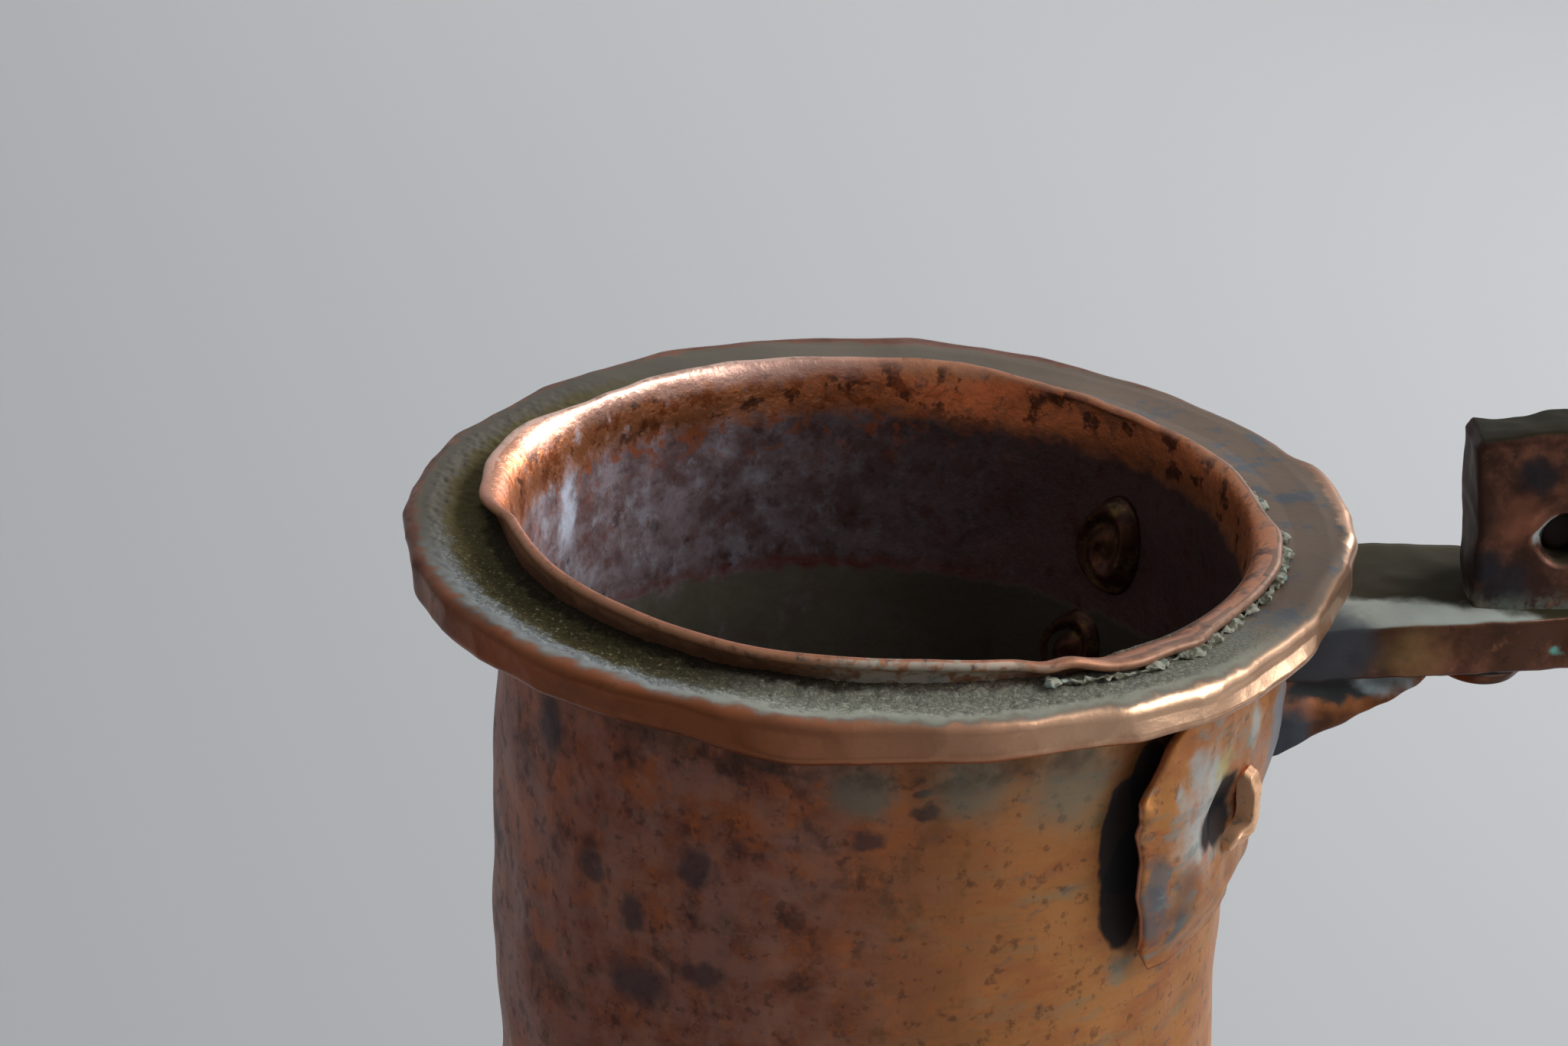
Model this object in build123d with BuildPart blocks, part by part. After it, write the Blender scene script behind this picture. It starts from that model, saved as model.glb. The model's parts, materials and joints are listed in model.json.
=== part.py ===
from build123d import *
import os
from math import cos, hypot, radians, sin, sqrt

# A hand raised copper tea kettle with a hinged lid.
# Millimetres. The origin is the centre of the base on the table, +Z is up,
# the handle is towards +X and the spout towards -X. The lid stands open, tipped back on its pin.

# Copper body
wall = 1.2                    # sheet of the neck, belly, base and spout
neck_radius = 41.85           # outside of the straight neck
collar_top = 225.0            # top face of the heavy collar ring above the table
lip_rise = 2.9                # how far the lip stands above the collar ring
lip_flare = 1.45              # how far the lip leans out over the ring
belly_radius = 82.0
belly_height = 72.0           # height of the widest part
shoulder_curve = 50.0         # hollow curve from the neck to the shoulder
belly_upper_curve = 62.0
belly_lower_curve = 105.0
belly_seam = 77.8             # height of the seam between the bowl and the shoulder
base_corner = 10.0

# Collar ring forged from heavy bar and driven down round the neck
collar_width = 10.65          # from the neck to the ring's rim
collar_thickness = 4.8
collar_edge = 1.2

# Handle plate on the neck: bent looser than the neck, so its side edges stand off
plate_sheet = 1.5
plate_looseness = 5.3         # how much larger its bend is than the neck
plate_half_width = 36.3
plate_height = 34.0
plate_edge_taper = 2.5
plate_widest_drop = 11.3      # its widest place below its top edge
plate_foot_rise = 4.0
plate_corner = 2.5
plate_collar_gap = 0.4

# Rivets of the neck plate, by angle from the handle and by distance below the top of the collar
plate_rivet_angles = [-32.0, 38.0, 44.0]
plate_rivet_drops = [26.0, 16.0, 31.0]
plate_rivet_shank = 2.2
plate_rivet_head = 4.2
plate_rivet_head_height = 2.0
inner_head = 5.5
inner_head_height = 1.8

# Handle, one forged flat bar from the neck plate to the belly plate
bar_drop = 10.5               # top of the bar below the top of the collar ring
bar_thickness = 6.2
bar_root_half_width = 12.2
bar_hinge_half_width = 9.7
grip_half_width = 8.5
grip_room = 38.9              # for the fingers, from the belly to the upright grip
upper_bend = 26.0
lower_bend = 30.0
lower_arm_height = 98.0       # middle of the lower arm above the table
palm_bend = 9.0
palm_length = 22.0
bar_edge = 1.2

# Root bracket, the wedge under the bar
bracket_overhang = 7.3        # how far it reaches out past the collar ring
bracket_depth = 15.0
bracket_foot = 3.0
bracket_half_width = 10.5
bracket_bulge = 1.2

# Hinge: an upright lug on the bar, and the lid's eye behind it on one pin
hinge_room = 24.5             # from the collar ring's rim out to the pin
hinge_drop = 1.6              # pin below the top of the collar ring
lug_front = -7.3
lug_thickness = 7.8
lug_half_length = 11.0
lug_lean = 1.6                # the end face leans out by this much
lug_height = 20.5
lug_rise = 2.2                # its top climbs outwards by this much
tenon_length = 8.0
tenon_width = 4.6
tenon_foot = 1.2              # peened end below the bar
tenon_spread = 1.2
pin_radius = 2.5
pin_clearance = 0.05
pin_recess = 0.5
mouth_chamfer = 0.7
side_gap = 0.3                # between the eye and what stands beside it
eye_radius = 6.0
eye_width = 7.8
washer_radius = 5.0
washer_thickness = 1.0
pin_head_radius = 3.8
pin_head_height = 1.4

# Lid
lid_open = 115.0              # how far the lid is tipped back, in degrees
lid_gap = 0.3                 # between the closed brim and the lip
lid_sheet = 1.2
brim_overhang = 3.2           # how far the brim reaches out past the lip
dome_inset = 2.65             # the dome starts this far inside the neck's bore
crown_flat = 9.0
dome_rise = 15.0
skirt_gap = 1.0
skirt_sheet = 1.0
skirt_depth = 11.0
knob_base = 7.5
knob_waist = 3.4
knob_hollow = 1 / 3           # how close the stem's hollow curve keeps to its foot
knob_radius = 8.0
knob_height = 20.0
knob_rivet_radius = 2.0
knob_rivet_head = 5.0
knob_rivet_head_height = 1.4
knob_rivet_depth = 9.0

# Strap from the lid's dome to the eye
strap_sheet = 2.2
strap_half_width = 9.0
strap_tip_half_width = 5.0
strap_tip = 15.0              # its rounded tip from the lid's middle
strap_run = 11.5              # end of its wide part out past the brim
strap_rivet_angles = [16.0, 38.0]
strap_rivet_radius = 1.6
strap_rivet_head = 3.2
strap_rivet_head_height = 1.3
stop_width = 4.0              # heel that comes down on the bar and stops the open lid
stop_gap = 0.3

# Lower end of the handle on the belly
belly_plate_sheet = 1.5
belly_plate_half_width = 19.0
belly_plate_height = 58.0
belly_plate_middle = 80.0
belly_plate_corner = 9.0
belly_rivet_inset = 6.0
palm_rivet_drops = [5.5, 17.0]
palm_rivet_shank = 2.5
palm_rivet_head = 4.6
palm_rivet_head_height = 2.0
belly_rivet_shank = 1.8
belly_rivet_head = 3.6
belly_rivet_head_height = 1.5

# Gooseneck spout, with the corners of its centreline out from the belly's widest part and up
spout_root_out, spout_root_up = -16.0, -16.0
spout_knee_out, spout_knee_up = 34.0, -3.0
spout_neck_out, spout_neck_up = 48.0, 97.0
spout_tip_out, spout_tip_up = 75.5, 124.0
spout_knee_bend = 60.0
spout_neck_bend = 50.0
spout_root_radius = 16.0
spout_tip_radius = 8.0
spout_taper = 1.5
spout_sections = 21
spout_lip_width = 1.4
spout_lip_length = 3.0
saddle_sheet = 1.5
saddle_radius = 25.0

# Worked out from the values above
lip_top = collar_top + lip_rise
neck_inside = neck_radius - wall
collar_radius = neck_radius + collar_width
collar_bottom = collar_top - collar_thickness
bracket_reach = collar_radius + bracket_overhang
hinge_reach = collar_radius + hinge_room
grip_reach = belly_radius + grip_room + bar_thickness / 2
lid_radius = neck_radius + lip_flare + brim_overhang
brim_inner = neck_inside - dome_inset
strap_reach = lid_radius + strap_run
upper_centre = (belly_radius - belly_upper_curve, belly_height)
lower_centre = (belly_radius - belly_lower_curve, belly_height)
shoulder_span = shoulder_curve + belly_upper_curve
shoulder_reach = neck_radius + shoulder_curve
neck_foot = belly_height + sqrt(shoulder_span**2 - (shoulder_reach - upper_centre[0]) ** 2)
shoulder_centre = (shoulder_reach, neck_foot)
corner_span = belly_lower_curve - base_corner
corner_reach = lower_centre[0] + sqrt(corner_span**2 - (belly_height - base_corner) ** 2)
corner_centre = (corner_reach, base_corner)
plate_bend = neck_radius + plate_looseness
plate_outside = plate_bend + plate_sheet
plate_top = collar_bottom - plate_collar_gap
bar_top = collar_top - bar_drop
bar_middle = bar_top - bar_thickness / 2
bar_bottom = bar_top - bar_thickness
hinge_height = collar_top - hinge_drop
lug_back = lug_front + lug_thickness
eye_front = lug_back + side_gap
eye_back = eye_front + eye_width
washer_front = eye_back + side_gap
washer_back = washer_front + washer_thickness
bore_radius = pin_radius + pin_clearance
hinge_axis = Axis((hinge_reach, 0, hinge_height), (0, 1, 0))
lid_seat = lip_top + lid_gap
brim_top = lid_seat + lid_sheet
crown_top = brim_top + dome_rise
dome_curve = ((brim_inner - crown_flat) ** 2 + dome_rise**2) / (2 * dome_rise)
dome_centre = (crown_flat, crown_top - dome_curve)
plenty = 400.0                # longer than the kettle, for cuts that go right through


def toward(start, goal, distance):
    """The point at a distance from start on the line to goal."""
    length = hypot(goal[0] - start[0], goal[1] - start[1])
    share = distance / length
    return (start[0] + (goal[0] - start[0]) * share, start[1] + (goal[1] - start[1]) * share)


def arc_about(centre, start, end):
    """The short arc about a centre from start to end."""
    radius = hypot(start[0] - centre[0], start[1] - centre[1])
    middle = ((start[0] + end[0]) / 2, (start[1] + end[1]) / 2)
    return ThreePointArc(start, toward(centre, middle, radius), end)


def side_plane(y):
    """The upright plane across the kettle's width at y, facing the front."""
    return Plane.XZ.offset(-y)


# Points of the body's outline at a depth below its outer surface
def high_seam(depth):
    return toward(upper_centre, shoulder_centre, belly_upper_curve - depth)


def widest(depth):
    return (belly_radius - depth, belly_height)


def low_seam(depth):
    return toward(lower_centre, corner_centre, belly_lower_curve - depth)


def belly_side(depth):
    """The belly's outline at a depth, from its high seam down to its low one."""
    arc_about(upper_centre, high_seam(depth), widest(depth))
    arc_about(lower_centre, widest(depth), low_seam(depth))


def belly_reach(height, y):
    """Distance of the belly's outer surface along X at a height and a place across."""
    centre, curve = lower_centre, belly_lower_curve
    if height > belly_height:
        centre, curve = upper_centre, belly_upper_curve
    radius = centre[0] + sqrt(curve**2 - (height - belly_height) ** 2)
    return sqrt(radius**2 - y**2)


def belly_layer(depth_out, depth_in, mode=Mode.ADD):
    """A layer of the belly between two depths, all the way round, added or cut away."""
    with BuildSketch(Plane.XZ) as section:
        with BuildLine():
            belly_side(depth_out)
            Line(low_seam(depth_out), low_seam(depth_in))
            belly_side(depth_in)
            Line(high_seam(depth_in), high_seam(depth_out))
        make_face()
    revolve(section.sketch, axis=Axis.Z, mode=mode)


def belly_core(depth, mode):
    """All that lies inside the belly's surface at a depth, added or cut away."""
    with BuildSketch(Plane.XZ) as section:
        with BuildLine():
            belly_side(depth)
            Polyline(low_seam(depth), (0, low_seam(depth)[1]), (0, high_seam(depth)[1]), high_seam(depth))
        make_face()
    revolve(section.sketch, axis=Axis.Z, mode=mode)


def plate_core(mode):
    """All that lies inside the neck plate's outer surface, up to the collar ring."""
    with BuildSketch(Plane.XY.offset(belly_height)) as section:
        with Locations((-plate_looseness, 0)):
            Circle(plate_outside)
    extrude(section.sketch, amount=collar_top - belly_height, mode=mode)


def plate_face(angle):
    """Distance of the neck plate's outer surface from the kettle's axis at an angle."""
    across = plate_looseness * sin(radians(angle))
    return sqrt(plate_outside**2 - across**2) - plate_looseness * cos(radians(angle))


def radial_plane(angle, drop, distance):
    """A plane facing outwards at a distance from the kettle's axis."""
    out = (cos(radians(angle)), sin(radians(angle)), 0)
    return Plane(origin=(distance * out[0], distance * out[1], collar_top - drop), z_dir=out)


def disc(plane, radius, length, mode=Mode.ADD):
    """A round bar that stands on a plane, added or cut away."""
    with BuildSketch(plane) as section:
        Circle(radius)
    extrude(section.sketch, amount=length, mode=mode)


plate_rivet_spots = list(zip(plate_rivet_angles, plate_rivet_drops))


def plate_rivet_holes():
    for angle, drop in plate_rivet_spots:
        start = radial_plane(angle, drop, neck_radius / 2)
        disc(start, plate_rivet_shank, neck_radius, Mode.SUBTRACT)


# Where the rivets of the handle's lower end go, as place across and height
palm_foot = lower_arm_height - palm_bend - palm_length
palm_spots = [(0, lower_arm_height - palm_bend - drop) for drop in palm_rivet_drops]
corner_across = belly_plate_half_width - belly_rivet_inset
corner_up = belly_plate_height / 2 - belly_rivet_inset
corner_spots = [
    (side * corner_across, belly_plate_middle + end * corner_up) for side in (-1, 1) for end in (-1, 1)
]


def belly_rivet_holes():
    for y, height in palm_spots:
        disc(Plane(origin=(0, y, height), z_dir=(1, 0, 0)), palm_rivet_shank, plenty, Mode.SUBTRACT)
    for y, height in corner_spots:
        disc(Plane(origin=(0, y, height), z_dir=(1, 0, 0)), belly_rivet_shank, plenty, Mode.SUBTRACT)


# Spout centreline and the solid that follows it
with BuildLine() as spout_line:
    FilletPolyline(
        (-belly_radius - spout_root_out, 0, belly_height + spout_root_up),
        (-belly_radius - spout_knee_out, 0, belly_height + spout_knee_up),
        (-belly_radius - spout_neck_out, 0, belly_height + spout_neck_up),
        (-belly_radius - spout_tip_out, 0, belly_height + spout_tip_up),
        radius=[spout_knee_bend, spout_neck_bend],
    )
spout_path = spout_line.wire()


def spout_solid(inset, mode=Mode.ADD):
    """The spout's tapered form, drawn in by an inset all along."""
    with BuildPart(mode=Mode.PRIVATE) as form:
        for number in range(spout_sections):
            along = number / (spout_sections - 1)
            swell = (spout_root_radius - spout_tip_radius) * (1 - along) ** spout_taper
            with BuildSketch(Plane(origin=spout_path @ along, z_dir=spout_path % along)):
                Circle(spout_tip_radius + swell - inset)
        loft()
    add(form.part, mode=mode)


# Neck, one raised sheet from the lip to the shoulder seam
with BuildPart() as neck_wall:
    with BuildSketch(Plane.XZ):
        with BuildLine():
            Polyline(
                (neck_inside, neck_foot),
                (neck_inside, collar_top),
                (neck_inside + lip_flare, lip_top),
                (neck_radius + lip_flare, lip_top),
                (neck_radius, collar_top),
                (neck_radius, neck_foot),
            )
            arc_about(shoulder_centre, (neck_radius, neck_foot), high_seam(0))
            Line(high_seam(0), high_seam(wall))
            arc_about(shoulder_centre, high_seam(wall), (neck_inside, neck_foot))
        make_face()
    revolve(axis=Axis.Z)
    plate_rivet_holes()

# Shoulder, from the neck's seam down to the belly's own seam
with BuildPart() as shoulder_shell:
    belly_layer(0, wall)
    split(bisect_by=Plane.XY.offset(belly_seam), keep=Keep.TOP)
    belly_rivet_holes()

# Belly, the bowl below that seam, with the hole that feeds the spout
with BuildPart() as belly_shell:
    belly_layer(0, wall)
    split(bisect_by=Plane.XY.offset(belly_seam), keep=Keep.BOTTOM)
    belly_rivet_holes()
    spout_solid(wall, Mode.SUBTRACT)

# Base pan with its turned up edge
with BuildPart() as base_pan:
    with BuildSketch(Plane.XZ):
        with BuildLine():
            arc_about(corner_centre, low_seam(0), (corner_reach, 0))
            Polyline((corner_reach, 0), (0, 0), (0, wall), (corner_reach, wall))
            arc_about(corner_centre, (corner_reach, wall), low_seam(wall))
            Line(low_seam(wall), low_seam(0))
        make_face()
    revolve(axis=Axis.Z)

# Collar ring
with BuildPart() as collar_ring:
    with BuildSketch(Plane.XY.offset(collar_bottom)):
        Circle(collar_radius)
        Circle(neck_radius, mode=Mode.SUBTRACT)
    extrude(amount=collar_thickness)
    fillet(collar_ring.edges().filter_by(GeomType.CIRCLE).sort_by(SortBy.RADIUS)[-2:], collar_edge)

# Handle plate on the neck
with BuildPart() as neck_plate:
    with BuildSketch(Plane.XY.offset(plate_top - plate_height)):
        with Locations((-plate_looseness, 0)):
            Circle(plate_outside)
            Circle(plate_bend, mode=Mode.SUBTRACT)
    extrude(amount=plate_height)
    with BuildSketch(Plane.YZ):
        with BuildLine():
            Polyline(
                (0, plate_top),
                (plate_half_width - plate_edge_taper, plate_top),
                (plate_half_width, plate_top - plate_widest_drop),
                (plate_half_width - plate_edge_taper / 2, plate_top - plate_height + plate_foot_rise),
                (0, plate_top - plate_height),
                close=False,
            )
            mirror(about=Plane.YZ)
        make_face()
        fillet(vertices().group_by(Axis.Y)[1], plate_corner)
    extrude(amount=plenty, mode=Mode.INTERSECT)
    plate_rivet_holes()

# Rivets of the neck plate, with large peened heads inside the neck
with BuildPart() as neck_plate_rivets:
    for angle, drop in plate_rivet_spots:
        start = plate_face(angle) - plate_sheet
        disc(radial_plane(angle, drop, start), plate_rivet_head, plate_sheet + plate_rivet_head_height)
    plate_core(Mode.SUBTRACT)
    for angle, drop in plate_rivet_spots:
        start = radial_plane(angle, drop, neck_inside - inner_head_height)
        disc(start, inner_head, inner_head_height + wall / 2)
    with BuildSketch(Plane.XY.offset(belly_height)):
        Circle(neck_radius)
        Circle(neck_inside, mode=Mode.SUBTRACT)
    extrude(amount=collar_top - belly_height, mode=Mode.SUBTRACT)
    for angle, drop in plate_rivet_spots:
        start = neck_inside - inner_head_height / 2
        length = plate_face(angle) + plate_rivet_head_height / 2 - start
        disc(radial_plane(angle, drop, start), plate_rivet_shank, length)

# Handle bar, a root that narrows to the hinge and a grip swept from one flat section
palm_reach = belly_reach(palm_foot, 0) + belly_plate_sheet + bar_thickness / 2
tenon_middle = (lug_front + lug_back) / 2
grip_start = grip_reach - upper_bend - bar_thickness / 2
with BuildLine() as bar_line:
    FilletPolyline(
        (grip_start, 0, bar_middle),
        (grip_reach, 0, bar_middle),
        (grip_reach, 0, lower_arm_height),
        (palm_reach, 0, lower_arm_height),
        (palm_reach, 0, palm_foot),
        radius=[upper_bend, lower_bend, palm_bend],
    )
with BuildPart() as handle_bar:
    with BuildSketch(Plane.XY.offset(bar_bottom)):
        with BuildLine():
            Polyline(
                (neck_radius / 2, bar_root_half_width),
                (bracket_reach, bar_root_half_width),
                (hinge_reach, bar_hinge_half_width),
                (grip_start - bar_thickness, grip_half_width),
                (grip_start, grip_half_width),
                (grip_start, -grip_half_width),
                (grip_start - bar_thickness, -grip_half_width),
                (hinge_reach, -bar_hinge_half_width),
                (bracket_reach, -bar_root_half_width),
                (neck_radius / 2, -bar_root_half_width),
                close=True,
            )
        make_face()
    extrude(amount=bar_thickness)
    fillet(handle_bar.faces().filter_by(Axis.Z).edges().filter_by(Axis.Y, reverse=True), bar_edge)
    with BuildSketch(Plane(origin=(grip_start, 0, bar_middle), x_dir=(0, 1, 0), z_dir=(1, 0, 0))):
        RectangleRounded(2 * grip_half_width, bar_thickness, bar_edge)
    sweep(path=bar_line.wire())
    plate_core(Mode.SUBTRACT)
    belly_core(-belly_plate_sheet, Mode.SUBTRACT)
    with BuildSketch(Plane.XY.offset(bar_bottom)):
        with Locations((hinge_reach - lug_half_length / 2, tenon_middle)):
            Rectangle(tenon_length, tenon_width)
    extrude(amount=bar_thickness, mode=Mode.SUBTRACT)
    for y, height in palm_spots:
        start = Plane(origin=(0, y, height), z_dir=(1, 0, 0))
        disc(start, palm_rivet_shank, grip_reach - lower_bend, Mode.SUBTRACT)

# Root bracket between the bar and the neck plate
with BuildPart() as root_bracket:
    with BuildSketch(side_plane(bracket_half_width)):
        with BuildLine():
            foot = (neck_radius + plate_sheet + bracket_foot / 2, bar_bottom - bracket_depth)
            tip = (bracket_reach, bar_bottom - bracket_foot / 2)
            bulge = ((foot[0] + tip[0]) / 2 + bracket_bulge, (foot[1] + tip[1]) / 2 - bracket_bulge)
            Polyline(foot, (0, foot[1]), (0, bar_bottom), (bracket_reach, bar_bottom), tip)
            ThreePointArc(tip, bulge, foot)
        make_face()
    extrude(amount=2 * bracket_half_width)
    plate_core(Mode.SUBTRACT)

# Hinge lug, with its tenon through the bar and peened over below
with BuildPart() as hinge_lug:
    with BuildSketch(side_plane(lug_back)):
        with BuildLine():
            Polyline(
                (hinge_reach - lug_half_length + lug_lean, bar_top),
                (hinge_reach - lug_half_length, bar_top + lug_height),
                (hinge_reach + lug_half_length, bar_top + lug_height + lug_rise),
                (hinge_reach + lug_half_length - lug_lean, bar_top),
                close=True,
            )
        make_face()
    extrude(amount=lug_thickness)
    with BuildSketch(Plane.XY.offset(bar_bottom)):
        with Locations((hinge_reach - lug_half_length / 2, tenon_middle)):
            Rectangle(tenon_length, tenon_width)
    extrude(amount=bar_thickness)
    with BuildSketch(Plane.XY.offset(bar_bottom - tenon_foot)):
        with Locations((hinge_reach - lug_half_length / 2, tenon_middle)):
            Rectangle(tenon_length + 2 * tenon_spread, tenon_width + 2 * tenon_spread)
    extrude(amount=tenon_foot)
    with BuildSketch(side_plane(lug_back)):
        with Locations((hinge_reach, hinge_height)):
            Circle(bore_radius)
    extrude(amount=lug_thickness, mode=Mode.SUBTRACT)
    bore_edges = hinge_lug.edges().filter_by(GeomType.CIRCLE)
    chamfer(bore_edges.sort_by(Axis.Y)[0], mouth_chamfer)


def across_hinge(back, radius, length, mode=Mode.ADD):
    """A round piece on the pin's axis, from its back face towards the front."""
    with BuildSketch(side_plane(back)) as section:
        with Locations((hinge_reach, hinge_height)):
            Circle(radius)
    extrude(section.sketch, amount=length, mode=mode)


# Hinge pin and the washer it is peened over
with BuildPart() as hinge_pin:
    across_hinge(washer_back, pin_radius, washer_back - lug_front - pin_recess)
    across_hinge(washer_back + pin_head_height, pin_head_radius, pin_head_height)

with BuildPart() as pin_washer:
    across_hinge(washer_back, washer_radius, washer_thickness)
    across_hinge(washer_back, pin_radius, washer_thickness, Mode.SUBTRACT)


# The lid is drawn closed, and turned back about its pin when it is written.
def dome_reach(extra, height):
    """Distance from the lid's middle of the dome's surface raised by an extra layer."""
    return dome_centre[0] + sqrt((dome_curve + extra) ** 2 - (height - dome_centre[1]) ** 2)


def dome_spot(angle):
    """A plane at the middle of the dome's curve, facing out through the dome at an angle from upright."""
    out = (sin(radians(angle)), 0, cos(radians(angle)))
    return Plane(origin=(dome_centre[0], 0, dome_centre[1]), z_dir=out)


with BuildPart() as lid_dome:
    with BuildSketch(Plane.XZ):
        with BuildLine():
            Polyline(
                (crown_flat, crown_top - lid_sheet),
                (0, crown_top - lid_sheet),
                (0, crown_top),
                (crown_flat, crown_top),
            )
            arc_about(dome_centre, (crown_flat, crown_top), (brim_inner, brim_top))
            Polyline(
                (brim_inner, brim_top),
                (lid_radius, brim_top),
                (lid_radius, lid_seat),
                (dome_reach(-lid_sheet, lid_seat), lid_seat),
            )
            arc_about(
                dome_centre, (dome_reach(-lid_sheet, lid_seat), lid_seat), (crown_flat, crown_top - lid_sheet)
            )
        make_face()
    revolve(axis=Axis.Z)
    disc(Plane.XY.offset(lid_seat), knob_rivet_radius, plenty, Mode.SUBTRACT)
    for angle in strap_rivet_angles:
        disc(dome_spot(angle), strap_rivet_radius, dome_curve + strap_sheet, Mode.SUBTRACT)

skirt_outside = neck_inside - skirt_gap
with BuildPart() as lid_skirt:
    with BuildSketch(Plane.XY.offset(lid_seat - skirt_depth)):
        Circle(skirt_outside)
        Circle(skirt_outside - skirt_sheet, mode=Mode.SUBTRACT)
    extrude(amount=skirt_depth)

# Turned knob: a foot, a waist and a ball
ball_middle = crown_top + knob_height - knob_radius
with BuildPart() as lid_knob:
    with BuildSketch(Plane.XZ):
        with BuildLine():
            waist = (knob_waist, ball_middle - sqrt(knob_radius**2 - knob_waist**2))
            hollow = (
                knob_waist + (knob_base - knob_waist) * knob_hollow,
                crown_top + (waist[1] - crown_top) * knob_hollow,
            )
            Line((0, crown_top), (knob_base, crown_top))
            ThreePointArc((knob_base, crown_top), hollow, waist)
            ThreePointArc(waist, (knob_radius, ball_middle), (0, ball_middle + knob_radius))
            Line((0, ball_middle + knob_radius), (0, crown_top))
        make_face()
    revolve(axis=Axis.Z)
    disc(Plane.XY.offset(crown_top), knob_rivet_radius, knob_rivet_depth, Mode.SUBTRACT)

with BuildPart() as knob_rivet:
    under = crown_top - lid_sheet
    disc(Plane.XY.offset(under - knob_rivet_head_height), knob_rivet_head, knob_rivet_head_height)
    disc(Plane.XY.offset(under), knob_rivet_radius, lid_sheet + knob_rivet_depth)

# Hinge strap: a leaf that hugs the dome, an arm beside the lug, an eye and a stop heel
arm_low = hinge_height + eye_radius - strap_sheet
stop_reach = hinge_height - bar_top - stop_gap
stop_angle = lid_open - 90    # it points straight down when the lid is open
with BuildPart() as hinge_strap:
    with BuildSketch(Plane.XZ):
        with BuildLine():
            raised = dome_reach(strap_sheet, brim_top + strap_sheet)
            arc_about(dome_centre, (crown_flat, crown_top), (brim_inner, brim_top))
            Polyline(
                (brim_inner, brim_top),
                (lid_radius, brim_top),
                (lid_radius, brim_top + strap_sheet),
                (raised, brim_top + strap_sheet),
            )
            arc_about(dome_centre, (raised, brim_top + strap_sheet), (crown_flat, crown_top + strap_sheet))
            Line((crown_flat, crown_top + strap_sheet), (crown_flat, crown_top))
        make_face()
    revolve(axis=Axis.Z)
    with BuildSketch(Plane.XY.offset(lid_seat)):
        with BuildLine():
            Polyline(
                (strap_tip + strap_tip_half_width, strap_tip_half_width),
                (brim_inner, strap_half_width),
                (lid_radius, strap_half_width),
                (lid_radius, -strap_half_width),
                (brim_inner, -strap_half_width),
                (strap_tip + strap_tip_half_width, -strap_tip_half_width),
            )
            ThreePointArc(
                (strap_tip + strap_tip_half_width, -strap_tip_half_width),
                (strap_tip, 0),
                (strap_tip + strap_tip_half_width, strap_tip_half_width),
            )
        make_face()
    extrude(amount=plenty, mode=Mode.INTERSECT)
    with BuildSketch(side_plane(strap_half_width)):
        with BuildLine():
            Polyline(
                (lid_radius - strap_sheet, brim_top),
                (strap_reach, brim_top),
                (strap_reach, brim_top + strap_sheet),
                (lid_radius - strap_sheet, brim_top + strap_sheet),
                close=True,
            )
        make_face()
    extrude(amount=2 * strap_half_width)
    with BuildSketch(side_plane(eye_back)):
        with BuildLine():
            Polyline(
                (strap_reach - strap_sheet, brim_top),
                (strap_reach, brim_top),
                (strap_reach + eye_radius, arm_low),
                (hinge_reach, arm_low),
                (hinge_reach, arm_low + strap_sheet),
                (strap_reach + eye_radius, arm_low + strap_sheet),
                (strap_reach, brim_top + strap_sheet),
                (strap_reach - strap_sheet, brim_top + strap_sheet),
                close=True,
            )
        make_face()
    extrude(amount=eye_width)
    with BuildSketch(side_plane(eye_back)):
        with Locations(Location((hinge_reach, hinge_height), stop_angle)):
            Rectangle(stop_reach, stop_width, align=(Align.MIN, Align.MIN))
    extrude(amount=eye_width)
    across_hinge(eye_back, eye_radius, eye_width)
    across_hinge(eye_back, bore_radius, eye_width, Mode.SUBTRACT)
    for angle in strap_rivet_angles:
        disc(dome_spot(angle), strap_rivet_radius, plenty, Mode.SUBTRACT)

with BuildPart() as strap_rivets:
    low = dome_curve - lid_sheet
    high = dome_curve + strap_sheet
    head_length = strap_rivet_head_height + lid_sheet
    for angle in strap_rivet_angles:
        disc(dome_spot(angle).offset(low - strap_rivet_head_height), strap_rivet_head, head_length)
        disc(dome_spot(angle).offset(high - lid_sheet), strap_rivet_head, head_length)
    with BuildSketch(Plane.XZ):
        with BuildLine():
            low_crown, high_crown = (crown_flat, dome_centre[1] + low), (crown_flat, dome_centre[1] + high)
            low_side, high_side = (crown_flat + low, dome_centre[1]), (crown_flat + high, dome_centre[1])
            Line(low_crown, high_crown)
            arc_about(dome_centre, high_crown, high_side)
            Line(high_side, low_side)
            arc_about(dome_centre, low_side, low_crown)
        make_face()
    revolve(axis=Axis.Z, mode=Mode.SUBTRACT)
    for angle in strap_rivet_angles:
        start = dome_spot(angle).offset(low - strap_rivet_head_height / 2)
        disc(start, strap_rivet_radius, high - low + strap_rivet_head_height)

# Belly plate under the handle's palm
with BuildPart() as belly_plate:
    belly_layer(-belly_plate_sheet, 0)
    with BuildSketch(Plane.YZ):
        with Locations((0, belly_plate_middle)):
            RectangleRounded(2 * belly_plate_half_width, belly_plate_height, belly_plate_corner)
    extrude(amount=plenty, mode=Mode.INTERSECT)
    belly_rivet_holes()


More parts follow.
